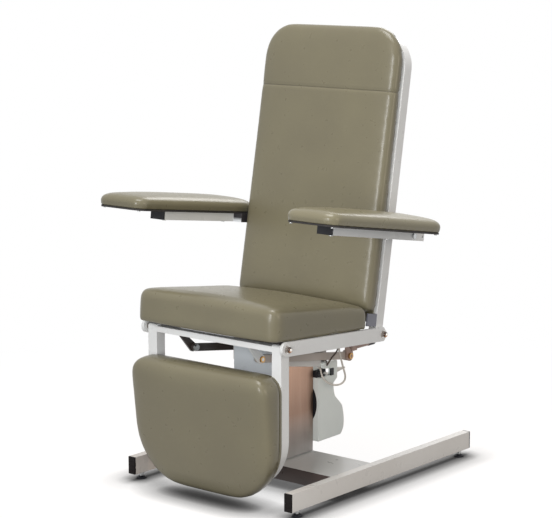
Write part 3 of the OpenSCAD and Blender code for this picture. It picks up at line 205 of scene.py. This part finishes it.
# ---------------------------------------------------------------- materials
def paint(name, light, shade, rough=0.3, coat=0.15):
    """Powder coat in two close tones, with specks and rubbed edges."""
    m = Mat(name, Coat_Weight=coat, Coat_Roughness=0.12)
    col = m.mix(m.clouds(5.0), light, shade)
    speck = m.span(m.noise(420.0, 2.0), 0.66, 0.74)
    col = m.mix(m.times(speck, 0.12), col, rgb(120, 112, 104))
    wear = m.wear(0.0022, 5.0, 60.0, 0.42, 0.72)
    m.set("Base Color", m.mix(m.times(wear, 0.4), col, rgb(150, 142, 134)))
    plain = m.span(m.noise(26.0, 4.0), 0.3, 0.7, rough - 0.05, rough + 0.07)
    m.set("Roughness", m.math("ADD", plain, m.times(wear, 0.2)))
    m.bump(m.noise(520.0, 2.0), 0.07, 0.0004, 0.0012)
    return m.m


def dark_metal(name, colour, worn, rough=0.38, metal=0.0):
    """Dark or brown steel plate, paler where its edges are worn."""
    m = Mat(name, Metallic=metal)
    wear = m.wear(0.0016, 6.0, 90.0, 0.4, 0.65)
    col = m.mix(m.times(m.clouds(18.0, 5.0, 0.6), 0.5), colour, worn)
    m.set("Base Color", m.mix(m.times(wear, 0.6), col, rgb(128, 118, 108)))
    m.rough(m.noise(70.0, 3.0), rough - 0.06, rough + 0.1)
    m.bump(m.noise(600.0, 3.0), 0.08, 0.0004, 0.0008)
    return m.m


def brushed(name, top, foot, z_top, z_foot, painted_reflection_band=None):
    """Upright brushed steel, one tone at its foot and one above, and a third at its upper end: a painted
    reflection of its surroundings, changing with height.
    """
    m = Mat(name, Metallic=1.0, Anisotropic=0.35)
    lines = m.noise(1.0, 3.0, 0.6, m.scaled(1500.0, 1500.0, 14.0))
    broad = m.noise(1.0, 2.0, 0.5, m.scaled(24.0, 24.0, 1.6))
    z = m.xyz()[Z]
    # painted reflection: the colour changes with height
    col = m.mix(m.span(z, z_foot, z_top), foot, top)
    if painted_reflection_band:
        col = m.mix(m.span(z, 0.22, 0.33), col, painted_reflection_band)
    col = m.mix(m.times(m.span(lines, 0.3, 0.7), 0.14), col, (0.75, 0.72, 0.7, 1))
    col = m.mix(m.times(m.span(broad, 0.4, 0.7), 0.18), col, (0.12, 0.09, 0.08, 1))
    m.set("Base Color", col)
    m.rough(lines, 0.27, 0.43, 0.25, 0.75)
    m.bump(lines, 0.12, 0.0003, 0.0008)
    return m.m


def polished(name, colour, rough):
    """Plated or turned metal with fine scratches, its edges and corners darkened as painted shade."""
    m = Mat(name, Metallic=1.0)
    # painted shade: edges and corners darkened
    m.set("Base Color", m.mix(m.times(m.edge(0.0009, 5.0), 0.6), colour, (0.12, 0.1, 0.09, 1)))
    scratches = m.scratches()
    m.rough(scratches, rough, rough + 0.12, 0.35)
    m.bump(scratches, 0.04, 0.0002, 0.0005)
    return m.m


def dome_nut(name):
    """Chrome with a painted reflection: bright on the nuts' crowns, a dark brown ring down their sides, grey
    on their flats and warm where they look down; painted shade darkens their edges.
    """
    m = Mat(name, Metallic=1.0)
    face = m.facing()
    out = m.math("ABSOLUTE", face[X])
    # painted reflection: dark brown down the sides, grey on the flats, bright on the crown
    col = m.mix(m.span(out, 0.62, 0.9), rgb(70, 54, 46), rgb(226, 224, 220))
    col = m.mix(m.span(out, 0.18, 0.02), col, rgb(150, 142, 136))
    # painted reflection: warm orange where the nut looks down
    painted_warm_reflection = m.times(m.span(face[Z], -0.12, -0.5), m.span(out, 0.2, 0.5))
    col = m.mix(m.times(painted_warm_reflection, 0.8), col, rgb(190, 128, 74))
    # painted shade: the edges darkened
    m.set("Base Color", m.mix(m.times(m.edge(0.0009, 5.0), 0.6), col, rgb(60, 48, 42)))
    scratches = m.scratches()
    m.rough(scratches, 0.14, 0.26, 0.35)
    m.bump(scratches, 0.04, 0.0002, 0.0005)
    return m.m


def channel_steel(name):
    """The channel: satin on its top plate, with its flanges painted dark brown as painted shade."""
    m = Mat(name, Coat_Weight=0.2, Coat_Roughness=0.2)
    cloud = m.clouds(4.0)
    top = m.mix(cloud, rgb(206, 204, 200), rgb(190, 187, 182))
    # painted shade: flanges dark brown, set apart from the pale top by the way each face points
    side = m.mix(cloud, rgb(84, 68, 62), rgb(66, 54, 50))
    col = m.mix(m.span(m.facing()[Z], 0.35, 0.75), side, top)
    wear = m.wear(0.0018, 5.0, 70.0, 0.42, 0.7)
    m.set("Base Color", m.mix(m.times(wear, 0.3), col, rgb(150, 144, 138)))
    m.rough(m.noise(30.0, 4.0), 0.27, 0.33)
    m.bump(m.noise(700.0, 2.0), 0.05, 0.0003, 0.001)
    return m.m


def parted(name, near, far, axis, at):
    """Enamel in two colours, which change where the node's own X, Y or Z passes a plane; on the lugs the dark
    colour is painted shade.
    """
    m = Mat(name, Coat_Weight=0.1, Coat_Roughness=0.15)
    col = m.mix(m.span(m.xyz()[axis], at - 0.0006, at + 0.0006), near, far)
    cloud = m.span(m.noise(11.0, 4.0), 0.35, 0.7, 0.0, 0.12)
    col = m.mix(cloud, col, rgb(96, 84, 76))
    wear = m.wear(0.0018, 5.0, 80.0, 0.42, 0.7)
    m.set("Base Color", m.mix(m.times(wear, 0.35), col, rgb(132, 124, 116)))
    m.rough(m.noise(40.0, 4.0), 0.29, 0.42)
    m.bump(m.noise(520.0, 2.0), 0.07, 0.0004, 0.001)
    return m.m


def moulded(name, colour, rough=0.5, grain=900.0, depth=0.12, spread=0.25, coat=0.0, gloss=0.5):
    """Moulded plastic or rubber, grained, clouded by spread and paler on its edges."""
    def paler(gain, lift):
        return tuple(min(1.0, c * gain + lift) for c in colour[:3]) + (1,)

    m = Mat(name, Coat_Weight=coat, Coat_Roughness=0.2, Specular_IOR_Level=gloss)
    col = m.mix(m.times(m.clouds(22.0), 0.5), colour, paler(1.0 + spread, 0.01))
    m.set("Base Color", m.mix(m.times(m.edge(0.0012, 5.0), 0.22), col, paler(1.5, 0.04)))
    m.rough(m.noise(140.0, 3.0), rough - 0.06, rough + 0.09)
    m.bump(m.noise(grain, 2.0), depth, 0.0004, 0.0008)
    return m.m


def vinyl(name, seam=None, tone=1.0):
    """Smooth upholstery vinyl; seam is a point on the sewn line and the direction across it, and tone
    brightens the colour as painted light.
    """
    # the vinyl's own colour times tone, which is painted light where it is not 1
    def dye_and_painted_light(r, g, b):
        return tuple(c * tone for c in rgb(r, g, b)[:3]) + (1.0,)

    m = Mat(name, Specular_IOR_Level=0.5)
    grain = m.n("ShaderNodeTexVoronoi", Vector=m.co, Scale=620.0).outputs["Distance"]
    fine = m.noise(1500.0, 2.0)
    col = m.mix(m.span(m.noise(6.0, 4.0), 0.3, 0.72), dye_and_painted_light(117, 110, 87), dye_and_painted_light(111, 104, 83))
    col = m.mix(m.span(grain, 0.05, 0.45, 0.22, 0.0), col, rgb(82, 76, 56))
    rub = m.span(m.noise(34.0, 5.0, 0.65), 0.56, 0.78, 0.0, 0.16)
    col = m.mix(rub, col, rgb(130, 124, 102))
    crease = m.span(m.noise(1.0, 3.0, 0.55, m.scaled(9.0, 9.0, 16.0), 0.6), 0.35, 0.75)
    under = m.n("ShaderNodeBump", Height=crease, Strength=0.06, Distance=0.004).outputs[0]
    if seam:
        point, across = seam
        away = m.vector("DOT_PRODUCT", m.vector("SUBTRACT", m.co, point)["Vector"], across)["Value"]
        away = m.math("ABSOLUTE", away)
        line = m.span(away, 0.0, 0.0016)
        swell = m.span(away, 0.0, 0.011)
        # two rows of stitches along X, 4.2 mm to each side of the line
        row = m.span(m.math("ABSOLUTE", m.math("SUBTRACT", away, 0.0042)), 0.0009, 0.0)
        thread = m.times(row, m.span(m.math("SINE", m.times(m.xyz()[X], 1250.0)), -0.2, 0.5))
        # painted shade: the colour darkened along the sewn line's groove
        col = m.mix(m.times(m.math("SUBTRACT", 1.0, line), 0.62), col, rgb(66, 58, 40))
        col = m.mix(m.times(thread, 0.4), col, rgb(150, 142, 118))
        form = m.math("ADD", m.times(line, 0.35), m.times(swell, 0.65))
        form = m.math("ADD", form, m.times(thread, 0.1))
        under = m.n("ShaderNodeBump", Height=form, Strength=0.5, Distance=0.003, Normal=under).outputs[0]
    m.set("Base Color", col)
    m.rough(m.noise(48.0, 4.0), 0.27, 0.33)
    height = m.math("ADD", m.times(grain, 0.7), m.times(fine, 0.3))
    m.relief(height, 0.09, 0.0003, under)
    return m.m


M_PAINT = paint("frame_paint_white", rgb(234, 233, 231), rgb(225, 223, 220))
M_RAIL_RIGHT = paint("rail_paint_white", rgb(228, 223, 217), rgb(219, 213, 206), coat=0.25)
# painted shade: the left rail wears a darker, browner copy of the white rail paint
M_RAIL_LEFT_PAINTED_SHADE = paint("rail_paint_left_painted_shade", rgb(208, 197, 187), rgb(198, 187, 176), coat=0.25)
M_HEAD = paint("head_paint", rgb(230, 226, 221), rgb(220, 215, 209), 0.34)
# painted shade: the back's side plates are dark blue-grey, a shaded tone with a cool sky tint
M_PLATE_PAINTED_SHADE = paint("plate_grey_painted_shade", rgb(124, 124, 134), rgb(112, 112, 122), 0.35)
# painted light: the cover sheet is the head paint made paler and cooler, as front light on it
M_COVER_PAINTED_LIGHT = paint("cover_paint_lit", rgb(232, 236, 239), rgb(222, 227, 231))
# painted shade: the right link wears the head paint made darker and browner
M_LINK_PAINTED_SHADE = paint("link_paint_shaded", rgb(190, 178, 168), rgb(176, 163, 152), 0.36, 0.1)
M_CHANNEL = channel_steel("channel_steel")
M_DARK = dark_metal("steel_dark", rgb(50, 43, 40), rgb(62, 52, 46))
M_LEVER = dark_metal("lever_steel", rgb(168, 142, 130), rgb(140, 114, 102), 0.4, 0.15)
# painted reflection: the sleeve's brown upper tone and browner band near the top, over a grey foot, stand for
# warm brown surroundings
M_SLEEVE = brushed("steel_brushed", rgb(146, 114, 94), rgb(186, 182, 178), 0.2, 0.08, rgb(178, 140, 116))
M_INNER = brushed("steel_brushed_inner", rgb(176, 172, 168), rgb(168, 164, 160), 0.36, 0.1)
M_CHROME = dome_nut("chrome_nut_painted_reflection")
M_ZINC = polished("steel_plated", (0.52, 0.53, 0.53, 1), 0.3)
M_BRASS = polished("brass", (0.52, 0.31, 0.12, 1), 0.28)
# painted shade: the left lug, below X = 0, is dark, the right lug pale
M_LUG_LEFT_PAINTED_SHADE = parted("lug_paint_left_shaded", rgb(52, 44, 40), rgb(222, 222, 220), X, 0.0)
M_BRACKET = parted("bracket_paint", rgb(232, 233, 234), rgb(44, 42, 46), Y, 0.0385)
M_CAP = moulded("cap_black", rgb(16, 11, 10), 0.62, depth=0.1, spread=0.2, gloss=0.14)
M_BLACK = moulded("plastic_black", rgb(26, 26, 30), 0.45, spread=0.5, gloss=0.32)
M_GREY = moulded("plastic_grey", rgb(228, 231, 226), 0.42, 700.0, 0.1, 0.04, 0.05)
M_WHITE = moulded("plastic_white", rgb(216, 211, 203), 0.4, 800.0, 0.06, 0.04, 0.1)
M_CABLE = moulded("cable_jacket", rgb(206, 198, 188), 0.45, 500.0, 0.1, 0.06)
M_CABLE_DARK = moulded("cable_dark", rgb(70, 56, 48), 0.5, 500.0, 0.1, 0.3)
M_LINING = moulded("board_lining_black", rgb(34, 30, 29), 0.7, 1200.0, 0.25, 0.4)
M_VINYL = vinyl("vinyl")
# painted light: the right arm pad's vinyl is a copy brightened 1.2 times
M_VINYL_RIGHT_PAINTED_LIGHT = vinyl("vinyl_arm_right_painted_light", tone=1.2)
BACK_UP = Vector((0, math.sin(math.radians(BACK_LEAN)), math.cos(math.radians(BACK_LEAN))))
BACK_FOOT = Vector((0, 0.0674, 0.42906))
M_VINYL_BACK = vinyl("vinyl_back", (BACK_FOOT + HEAD_SEAM_UP * BACK_UP, BACK_UP))

# a node that neither table names is a cushion, or the back of one, and wears M_VINYL
BY_NODE = {
    "base_rail_left": M_RAIL_LEFT_PAINTED_SHADE, "base_rail_right": M_RAIL_RIGHT, "rail_end_caps": M_CAP,
    "cross_channel": M_CHANNEL, "foot_studs": M_ZINC, "foot_pads": M_BLACK, "column_sleeve": M_SLEEVE,
    "column_glides": M_BLACK, "column_foot": M_ZINC, "lift_nut_tube": M_ZINC, "column_inner": M_INNER,
    "column_shoes": M_BLACK, "lift_head": M_HEAD, "lift_spindle": M_ZINC, "lift_gearbox": M_DARK,
    "motor_housing": M_GREY, "motor_can": M_BLACK, "plugs_black": M_BLACK, "plugs_white": M_WHITE,
    "motor_cable": M_CABLE, "cable_glands": M_BLACK, "seat_rails": M_PAINT, "seat_crossmembers": M_PAINT,
    # the seat board's black is its lining and also painted shade under the cushion's front edge
    "seat_board": M_LINING, "pivot_bolts": M_CHROME, "lever_bracket": M_LEVER, "release_cable": M_CABLE_DARK,
    "release_lever": M_LEVER, "release_grip": M_BLACK, "back_hoop": M_PAINT, "back_crossbars": M_PAINT,
    "back_side_plates": M_PLATE_PAINTED_SHADE, "back_levers": M_LEVER, "lever_bushes": M_BRASS, "arm_bolts": M_ZINC,
    "legrest_frame": M_PAINT, "legrest_lugs": M_LUG_LEFT_PAINTED_SHADE, "legrest_pins": M_ZINC, "legrest_bushes": M_BRASS,
    # the left link wears the dark steel as painted shade; the right link is the same part in shaded beige
    "link_left": M_DARK, "link_right": M_LINK_PAINTED_SHADE, "gas_cylinder": M_DARK, "gas_rod": M_ZINC,
}
BY_ARM_NODE = {"arm_tube_": M_PAINT, "arm_cap_": M_BLACK, "arm_bracket_": M_BRACKET, "arm_plate_": M_LINING,
               "arm_screws_": M_ZINC}
for side in ARM_RISE:
    BY_NODE.update({stem + side: material for stem, material in BY_ARM_NODE.items()})

for name, ob in nodes.items():
    ob.data.materials.clear()
    ob.data.materials.append(BY_NODE.get(name, M_VINYL))
    for s in ob.material_slots:
        s.material = BY_NODE.get(name, M_VINYL)


# ---------------------------------------------------------------- pieces
def link(ob, body, material):
    if ob.name not in bpy.context.scene.collection.objects:
        bpy.context.scene.collection.objects.link(ob)
    ob.data.materials.clear()
    ob.data.materials.append(material)
    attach(ob, body)
    return ob


def spline(p, n):
    """The curve of part.scad: smooth through the points, its first and last span straight."""
    out = []
    last = len(p) - 1
    for i in range(last):
        steps = 1 if i in (0, last - 1) else n
        a, b, c, e = p[max(i - 1, 0)], p[i], p[i + 1], p[min(i + 2, last)]
        for j in range(steps):
            t = j / steps
            out.append(b + t * (c - a) / 2 + t * t * (2 * a - 5 * b + 4 * c - e) / 2
                       + t ** 3 * (3 * b - a - 3 * c + e) / 2)
    return out + [p[last]]


# routes in millimetres, their depths measured back from the sleeve's rear face
MOTOR_CABLE = [
    (73.8, 23.75, 315.5), (79.5, 23.15, 315.2), (87, 18.25, 310.8), (93.5, 13.25, 301.5), (100, 16.05, 286.7),
    (106, 30.45, 273.1), (113, 49.85, 265.3), (121, 67.95, 266.1), (129, 75.95, 276.3), (135, 71.75, 292.8),
    (140, 57.95, 313.8), (144, 43.95, 337.5), (147.5, 31.65, 360.8), (149.5, 22.75, 381.7), (150, 18.75, 402),
    (150, 18.75, 414),
]
RELEASE_CABLE = [
    (211.4, 2.25, 404), (203, 2.25, 404), (186, 7.75, 407), (164, 23.75, 405.5), (145, 33.75, 398),
    (138, 35.75, 383), (138, 22.75, 369), (138, 7.75, 360), (137, -4.25, 350), (131, -6.25, 339),
    (118, 7.75, 332), (103, 25.75, 334), (91, 35.75, 338), (82, 35.75, 338),
]


def cable(node, route, diameter, material):
    """A limp cable on the lift body, held at both ends."""
    pts = spline([(Vector(q) + Vector((0, SLEEVE_REAR, 0))) * MM for q in route], 5)
    data = bpy.data.curves.new(node + "_drawn", "CURVE")
    data.dimensions = "3D"
    data.bevel_depth = diameter / 2
    data.bevel_resolution = 5
    data.use_fill_caps = True
    s = data.splines.new("POLY")
    s.points.add(len(pts) - 1)
    for q, v in zip(s.points, pts):
        q.co = (v.x, v.y, v.z, 1)
    s.use_smooth = True
    ob = link(bpy.data.objects.new(node + "_drawn", data), "lift", material)
    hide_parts(node)


cable("motor_cable", MOTOR_CABLE, 0.0055, M_CABLE)
cable("release_cable", RELEASE_CABLE, 0.0045, M_CABLE_DARK)

# the cover sheet in front of the lift head, in millimetres
COVER_HALF = 73.6
COVER_LOW, COVER_HIGH = 322.0, 406.0
COVER_FRONT, COVER_THICK = -199.4, 1.4
COVER_CORNER = 6.0
COVER_EDGE = 0.4


def head_cover(name):
    """A flat sheet with rounded lower corners and broken edges."""
    bm = bmesh.new()
    rim = [(-COVER_HALF, COVER_HIGH), (COVER_HALF, COVER_HIGH)]
    for cx, a0 in ((COVER_HALF - COVER_CORNER, 0.0), (-COVER_HALF + COVER_CORNER, -90.0)):
        for k in range(9):
            a = math.radians(a0 - 90.0 * k / 8)
            rim.append((cx + COVER_CORNER * math.cos(a), COVER_LOW + COVER_CORNER * (1 + math.sin(a))))
    face = bm.faces.new([bm.verts.new((x * MM, COVER_FRONT * MM, z * MM)) for x, z in rim])
    for v in bmesh.ops.extrude_face_region(bm, geom=[face])["geom"]:
        if isinstance(v, bmesh.types.BMVert):
            v.co.y += COVER_THICK * MM
    bmesh.ops.recalc_face_normals(bm, faces=bm.faces)
    sharp = [e for e in bm.edges if e.calc_face_angle(0.0) > 1.0]
    bmesh.ops.bevel(bm, geom=sharp, offset=COVER_EDGE * MM, segments=2, affect="EDGES")
    me = bpy.data.meshes.new(name)
    bm.to_mesh(me)
    bm.free()
    link(bpy.data.objects.new(name, me), "lift", M_COVER_PAINTED_LIGHT)


head_cover("head_cover_sheet")


# ---------------------------------------------------------------- cushions
CLOTH = {
    "quality": 4, "mass": 0.35, "tension_stiffness": 25, "compression_stiffness": 25, "shear_stiffness": 12,
    "bending_stiffness": 1.5, "use_pressure": True, "uniform_pressure_force": 4.0,
}
CLOTH_FRAMES = 20
# rounds of evening out, and the share of the cover's small folds that is kept
CALM_ROUNDS, FOLDS_KEPT = 60, 0.04
# metres: how far a cover may stand over its solid, and how near its board a point rests on it
PROUD, NEAR_BOARD = 0.0015, 0.004


def turned(degrees, origin):
    """The frame of a leaning part: a turn about X, then its origin in millimetres."""
    return Matrix.Translation(Vector(origin) * MM) @ Matrix.Rotation(math.radians(degrees), 4, "X")


def take_modified(ob):
    """The mesh that the object's modifiers give takes the place of its own."""
    dg = bpy.context.evaluated_depsgraph_get()
    me = bpy.data.meshes.new_from_object(ob.evaluated_get(dg), depsgraph=dg)
    ob.modifiers.clear()
    return me


def per_point(me, field):
    """The points' places ("co") or the ways they face ("normal"), as rows."""
    rows = np.zeros(len(me.vertices) * 3)
    me.vertices.foreach_get(field, rows)
    return rows.reshape(-1, 3)


def put_points(me, co):
    me.vertices.foreach_set("co", co.reshape(-1))
    me.update()


def evened(me, field, rounds):
    """A field over the mesh's points, evened out along its edges."""
    ends = np.zeros(len(me.edges) * 2, dtype=np.int64)
    me.edges.foreach_get("vertices", ends)
    a, b = ends.reshape(-1, 2).T
    count = np.bincount(a, minlength=len(field)) + np.bincount(b, minlength=len(field))
    out = field.copy()
    for _ in range(rounds):
        total = np.stack([np.bincount(a, out[b, k], len(out)) + np.bincount(b, out[a, k], len(out))
                          for k in range(field.shape[1])], axis=1)
        out = 0.5 * out + 0.5 * total / np.maximum(count, 1)[:, None]
    return out


def inflate(ob, pinned, cap):
    """Blows the cover up over its foam with Cloth, and keeps each point's way out, cap at most."""
    me = ob.data
    start = per_point(me, "co")
    facing = per_point(me, "normal")
    group = ob.vertex_groups.new(name="pin")
    group.add([int(i) for i in np.nonzero(pinned)[0]], 1.0, "REPLACE")
    mod = ob.modifiers.new("Cloth", "CLOTH")
    for k, v in CLOTH.items():
        setattr(mod.settings, k, v)
    mod.settings.effector_weights.gravity = 0.0
    mod.settings.vertex_group_mass = group.name
    mod.collision_settings.use_collision = False
    mod.point_cache.frame_start = 1
    mod.point_cache.frame_end = CLOTH_FRAMES
    for f in range(1, CLOTH_FRAMES + 1):
        bpy.context.scene.frame_set(f)
    blown = take_modified(ob)
    move = per_point(blown, "co") - start
    ob.vertex_groups.clear()
    bpy.context.scene.frame_set(1)
    bpy.data.meshes.remove(blown)
    size = np.linalg.norm(move, axis=1, keepdims=True)
    move *= np.minimum(1.0, cap / np.maximum(size, 1e-9))
    out = (move * facing).sum(axis=1, keepdims=True)
    calm = np.maximum(evened(me, out, CALM_ROUNDS), 0.0)
    put_points(me, start + facing * (calm + FOLDS_KEPT * (out - calm)))


def held_in(ob, node, proud):
    """Keeps the piece in the space of its CAD solid, proud metres over it at most."""
    cad = nodes[node].data
    tree = BVHTree.FromPolygons([v.co[:] for v in cad.vertices], [p.vertices[:] for p in cad.polygons])
    co = per_point(ob.data, "co")
    for i, v in enumerate(co):
        p, n, _, _ = tree.find_nearest(Vector(v))
        if (Vector(v) - p).dot(n) > proud:
            co[i] = p + n * proud
    put_points(ob.data, co)


def cushion(name, node, body, place, floor, voxel, inset=0.001, cap=0.012, shape=None, seam=None,
            material=M_VINYL, soften=14, keep_size=True):
    """A cushion over its board: the CAD solid's mesh, drawn in, blown up, softened, then seamed.

    place turns the cushion's own frame into the row frame. floor is the axis and the place of
    the face that rests on the board, in the cushion's frame. keep_size stretches the softened
    cushion back to its length, width and depth."""
    ob = bpy.data.objects.new(name, nodes[node].data.copy())
    bpy.context.scene.collection.objects.link(ob)
    mod = ob.modifiers.new("remesh", "REMESH")
    mod.mode = "VOXEL"
    mod.voxel_size = voxel
    ob.data = me = take_modified(ob)
    back, there = np.array(place.inverted()), np.array(place)
    floor_axis, floor_at = floor

    def local(co):
        return co @ back[:3, :3].T + back[:3, 3]

    def world(co):
        return co @ there[:3, :3].T + there[:3, 3]

    q = local(per_point(me, "co"))
    rest = np.abs(q[:, floor_axis] - floor_at) < NEAR_BOARD
    if shape:
        put_points(me, world(shape(q)))
    co, out = per_point(me, "co"), per_point(me, "normal")
    co[~rest] -= out[~rest] * inset
    put_points(me, co)
    inflate(ob, rest, cap)
    held_in(ob, node, PROUD)
    full = local(per_point(me, "co"))
    soft = local(evened(me, per_point(me, "co"), soften))
    if keep_size:
        low, high = full.min(axis=0), full.max(axis=0)
        soft = low + (soft - soft.min(axis=0)) * (high - low) / np.ptp(soft, axis=0)
    soft[rest, floor_axis] = full[rest, floor_axis]
    put_points(me, world(soft))
    ob.modifiers.new("smooth", "SUBSURF").levels = 1
    ob.data = me = take_modified(ob)
    if seam:
        q, out = local(per_point(me, "co")), per_point(me, "normal") @ back[:3, :3].T
        put_points(me, world(seam(q, out)))
    for poly in me.polygons:
        poly.use_smooth = True
    link(ob, body, material)
    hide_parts(node)


SEAT = turned(-SEAT_TILT, FRONT_PIVOT)
BACK = turned(-BACK_LEAN, REAR_PIVOT)
LEG = turned(0.0, FRONT_PIVOT)


def pad_place(side):
    """The frame of an arm pad: origin under the middle of its front edge, Y back along it, Z up."""
    mirror = Matrix.Scale(1 if side == "right" else -1, 4, (1, 0, 0))
    hinge = turned(BACK_LEAN - ARM_RISE[side], (0, -8.0, ARM_PIVOT_UP[side]))
    return BACK @ mirror @ hinge @ Matrix.Translation(Vector((343.4, -510.0, 12.7)) * MM)


def drawn_in(q, amount):
    """The long sides moved towards the middle by amount metres at each point."""
    out = q.copy()
    out[:, X] -= np.sign(q[:, X]) * amount
    return out


def seat_shape(q):
    """The side walls drawn in by 2 mm between the corners, the rear edge left full."""
    side = np.clip((np.clip(np.abs(q[:, X]) / 0.257, 0, 1) - 0.9) / 0.1, 0, 1)
    along = np.clip(1 - ((q[:, Y] - 0.16) / 0.2) ** 2, 0, 1)
    return drawn_in(q, side * along * 0.002)


def back_shape(q):
    """The left side alone drawn in, by 2.5 mm from the seat up to the head."""
    side = np.clip((np.abs(q[:, X]) - 0.15) / 0.1, 0, 1)
    along = np.clip((0.86 - q[:, Z]) / 0.3, 0, 1)
    return drawn_in(q, side * along * np.where(q[:, X] < 0, 0.0025, 0.0))


def head_seam(q, n):
    """The sewn line pressed in 1.2 mm deep, the foam standing a little on both sides."""
    depth, width, swell = 0.0012, 0.0022, 0.105
    d = np.abs(q[:, Z] - HEAD_SEAM_UP)
    dip = np.exp(-(d / width) ** 2)
    ridge = np.exp(-((d - 3.2 * width) / (1.8 * width)) ** 2)
    return q - n * (depth * (dip - swell * ridge))[:, None]


cushion("seat_cushion_sewn", "seat_cushion", "lift", SEAT, (Z, 0.0203), 0.007, shape=seat_shape, soften=6)
cushion("back_cushion_sewn", "back_cushion", "back", BACK, (Y, -0.0303), 0.007, shape=back_shape,
        seam=head_seam, material=M_VINYL_BACK)
cushion("legrest_pad_sewn", "legrest_pad", "legrest", LEG, (Y, -0.0173), 0.006)
for side, material in (("left", M_VINYL), ("right", M_VINYL_RIGHT_PAINTED_LIGHT)):
    cushion("arm_pad_sewn_" + side, "arm_pad_" + side, "arm_" + side, pad_place(side), (Z, 0.0053), 0.005,
            inset=0.0, cap=0.008, material=material, soften=34, keep_size=False)


# ---------------------------------------------------------------- studio
def set_floor():
    """A white floor with contact shadows painted in near the chair from ambient occlusion, ending in the
    white backdrop.
    """
    bm = bmesh.new()
    bmesh.ops.create_grid(bm, x_segments=2, y_segments=2, size=12.0)
    me = bpy.data.meshes.new("floor")
    bm.to_mesh(me)
    bm.free()
    floor = bpy.data.objects.new("floor", me)
    bpy.context.scene.collection.objects.link(floor)
    m = Mat("floor_white", Roughness=0.9, Specular_IOR_Level=0.0)
    # painted shadows fall within 0.9 m of the middle, and from 1.9 m on the floor is backdrop
    far = m.span(m.vector("LENGTH", m.co)["Value"], 0.9, 1.9)
    near = m.n("ShaderNodeAmbientOcclusion", {"samples": 12}, Distance=0.05).outputs["AO"]
    cast = m.n("ShaderNodeAmbientOcclusion", {"samples": 16}, Distance=0.1, Normal=(-0.7, 0.5, 0.5))
    # painted shadow: ambient occlusion, one lot tilted to throw it to the front and right, darkens the glow
    painted_shadow_mask = m.times(m.math("POWER", near, 1.8), m.math("POWER", cast.outputs["AO"], 2.0))
    painted_shadow_mask = m.math("MAXIMUM", painted_shadow_mask, far)
    # painted shadow: the floor's colour near the chair darkened by the same mask
    painted_shadow_colour = m.mix(painted_shadow_mask, rgb(24, 21, 20), rgb(92, 84, 78))
    m.set("Base Color", m.mix(far, painted_shadow_colour, (0, 0, 0, 1)))
    m.set("Emission Color", (1, 1, 1, 1))
    glow = m.span(far, 0.0, 1.0, 0.93, 1.0)
    m.set("Emission Strength", m.times(m.times(m.background_ray(), glow), painted_shadow_mask))
    floor.data.materials.append(m.m)


def set_world():
    """A dim cool fill, seen as plain white."""
    world = bpy.data.worlds.new("studio")
    bpy.context.scene.world = world
    world.use_nodes = True
    w = Nodes(world.node_tree)
    fill = w.n("ShaderNodeBackground", Color=(0.93, 0.97, 1.0, 1), Strength=0.34).outputs[0]
    white = w.n("ShaderNodeBackground", Color=(1, 1, 1, 1), Strength=1.0).outputs[0]
    both = w.n("ShaderNodeMixShader", i0=w.background_ray(), i1=fill, i2=white).outputs[0]
    w.n("ShaderNodeOutputWorld", Surface=both)


def lamp(name, az, el, dist, watts, colour, width, height=None, aim_z=0.6, mirrored=True):
    """An area lamp that looks at the chair from azimuth az and elevation el."""
    data = bpy.data.lights.new(name, "AREA")
    data.shape = "RECTANGLE"
    data.size = width
    data.size_y = height or width
    data.energy = watts
    data.color = colour
    ob = bpy.data.objects.new(name, data)
    a, e = math.radians(az), math.radians(el)
    off = Vector((math.sin(a) * math.cos(e), -math.cos(a) * math.cos(e), math.sin(e))) * dist
    ob.location = Vector((0, 0, aim_z)) + off
    ob.rotation_euler = (-off).to_track_quat("-Z", "Y").to_euler()
    ob.visible_glossy = mirrored
    bpy.context.scene.collection.objects.link(ob)


bpy.context.scene.view_settings.view_transform = "Standard"
set_floor()
set_world()
lamp("key", 8, 17, 4.4, 77, (0.97, 0.98, 1.0), 0.7, 2.3)
lamp("side", 88, 15, 4.2, 20, (1.0, 0.84, 0.68), 0.4, 2.0)
lamp("low", 36, 8, 4.4, 78, (0.93, 0.97, 1.0), 1.5, aim_z=0.42, mirrored=False)
lamp("top", 10, 82, 4.0, 112, (1.0, 1.0, 1.0), 2.2)
lamp("rear", 200, 38, 4.6, 50, (1.0, 0.99, 0.97), 2.0)
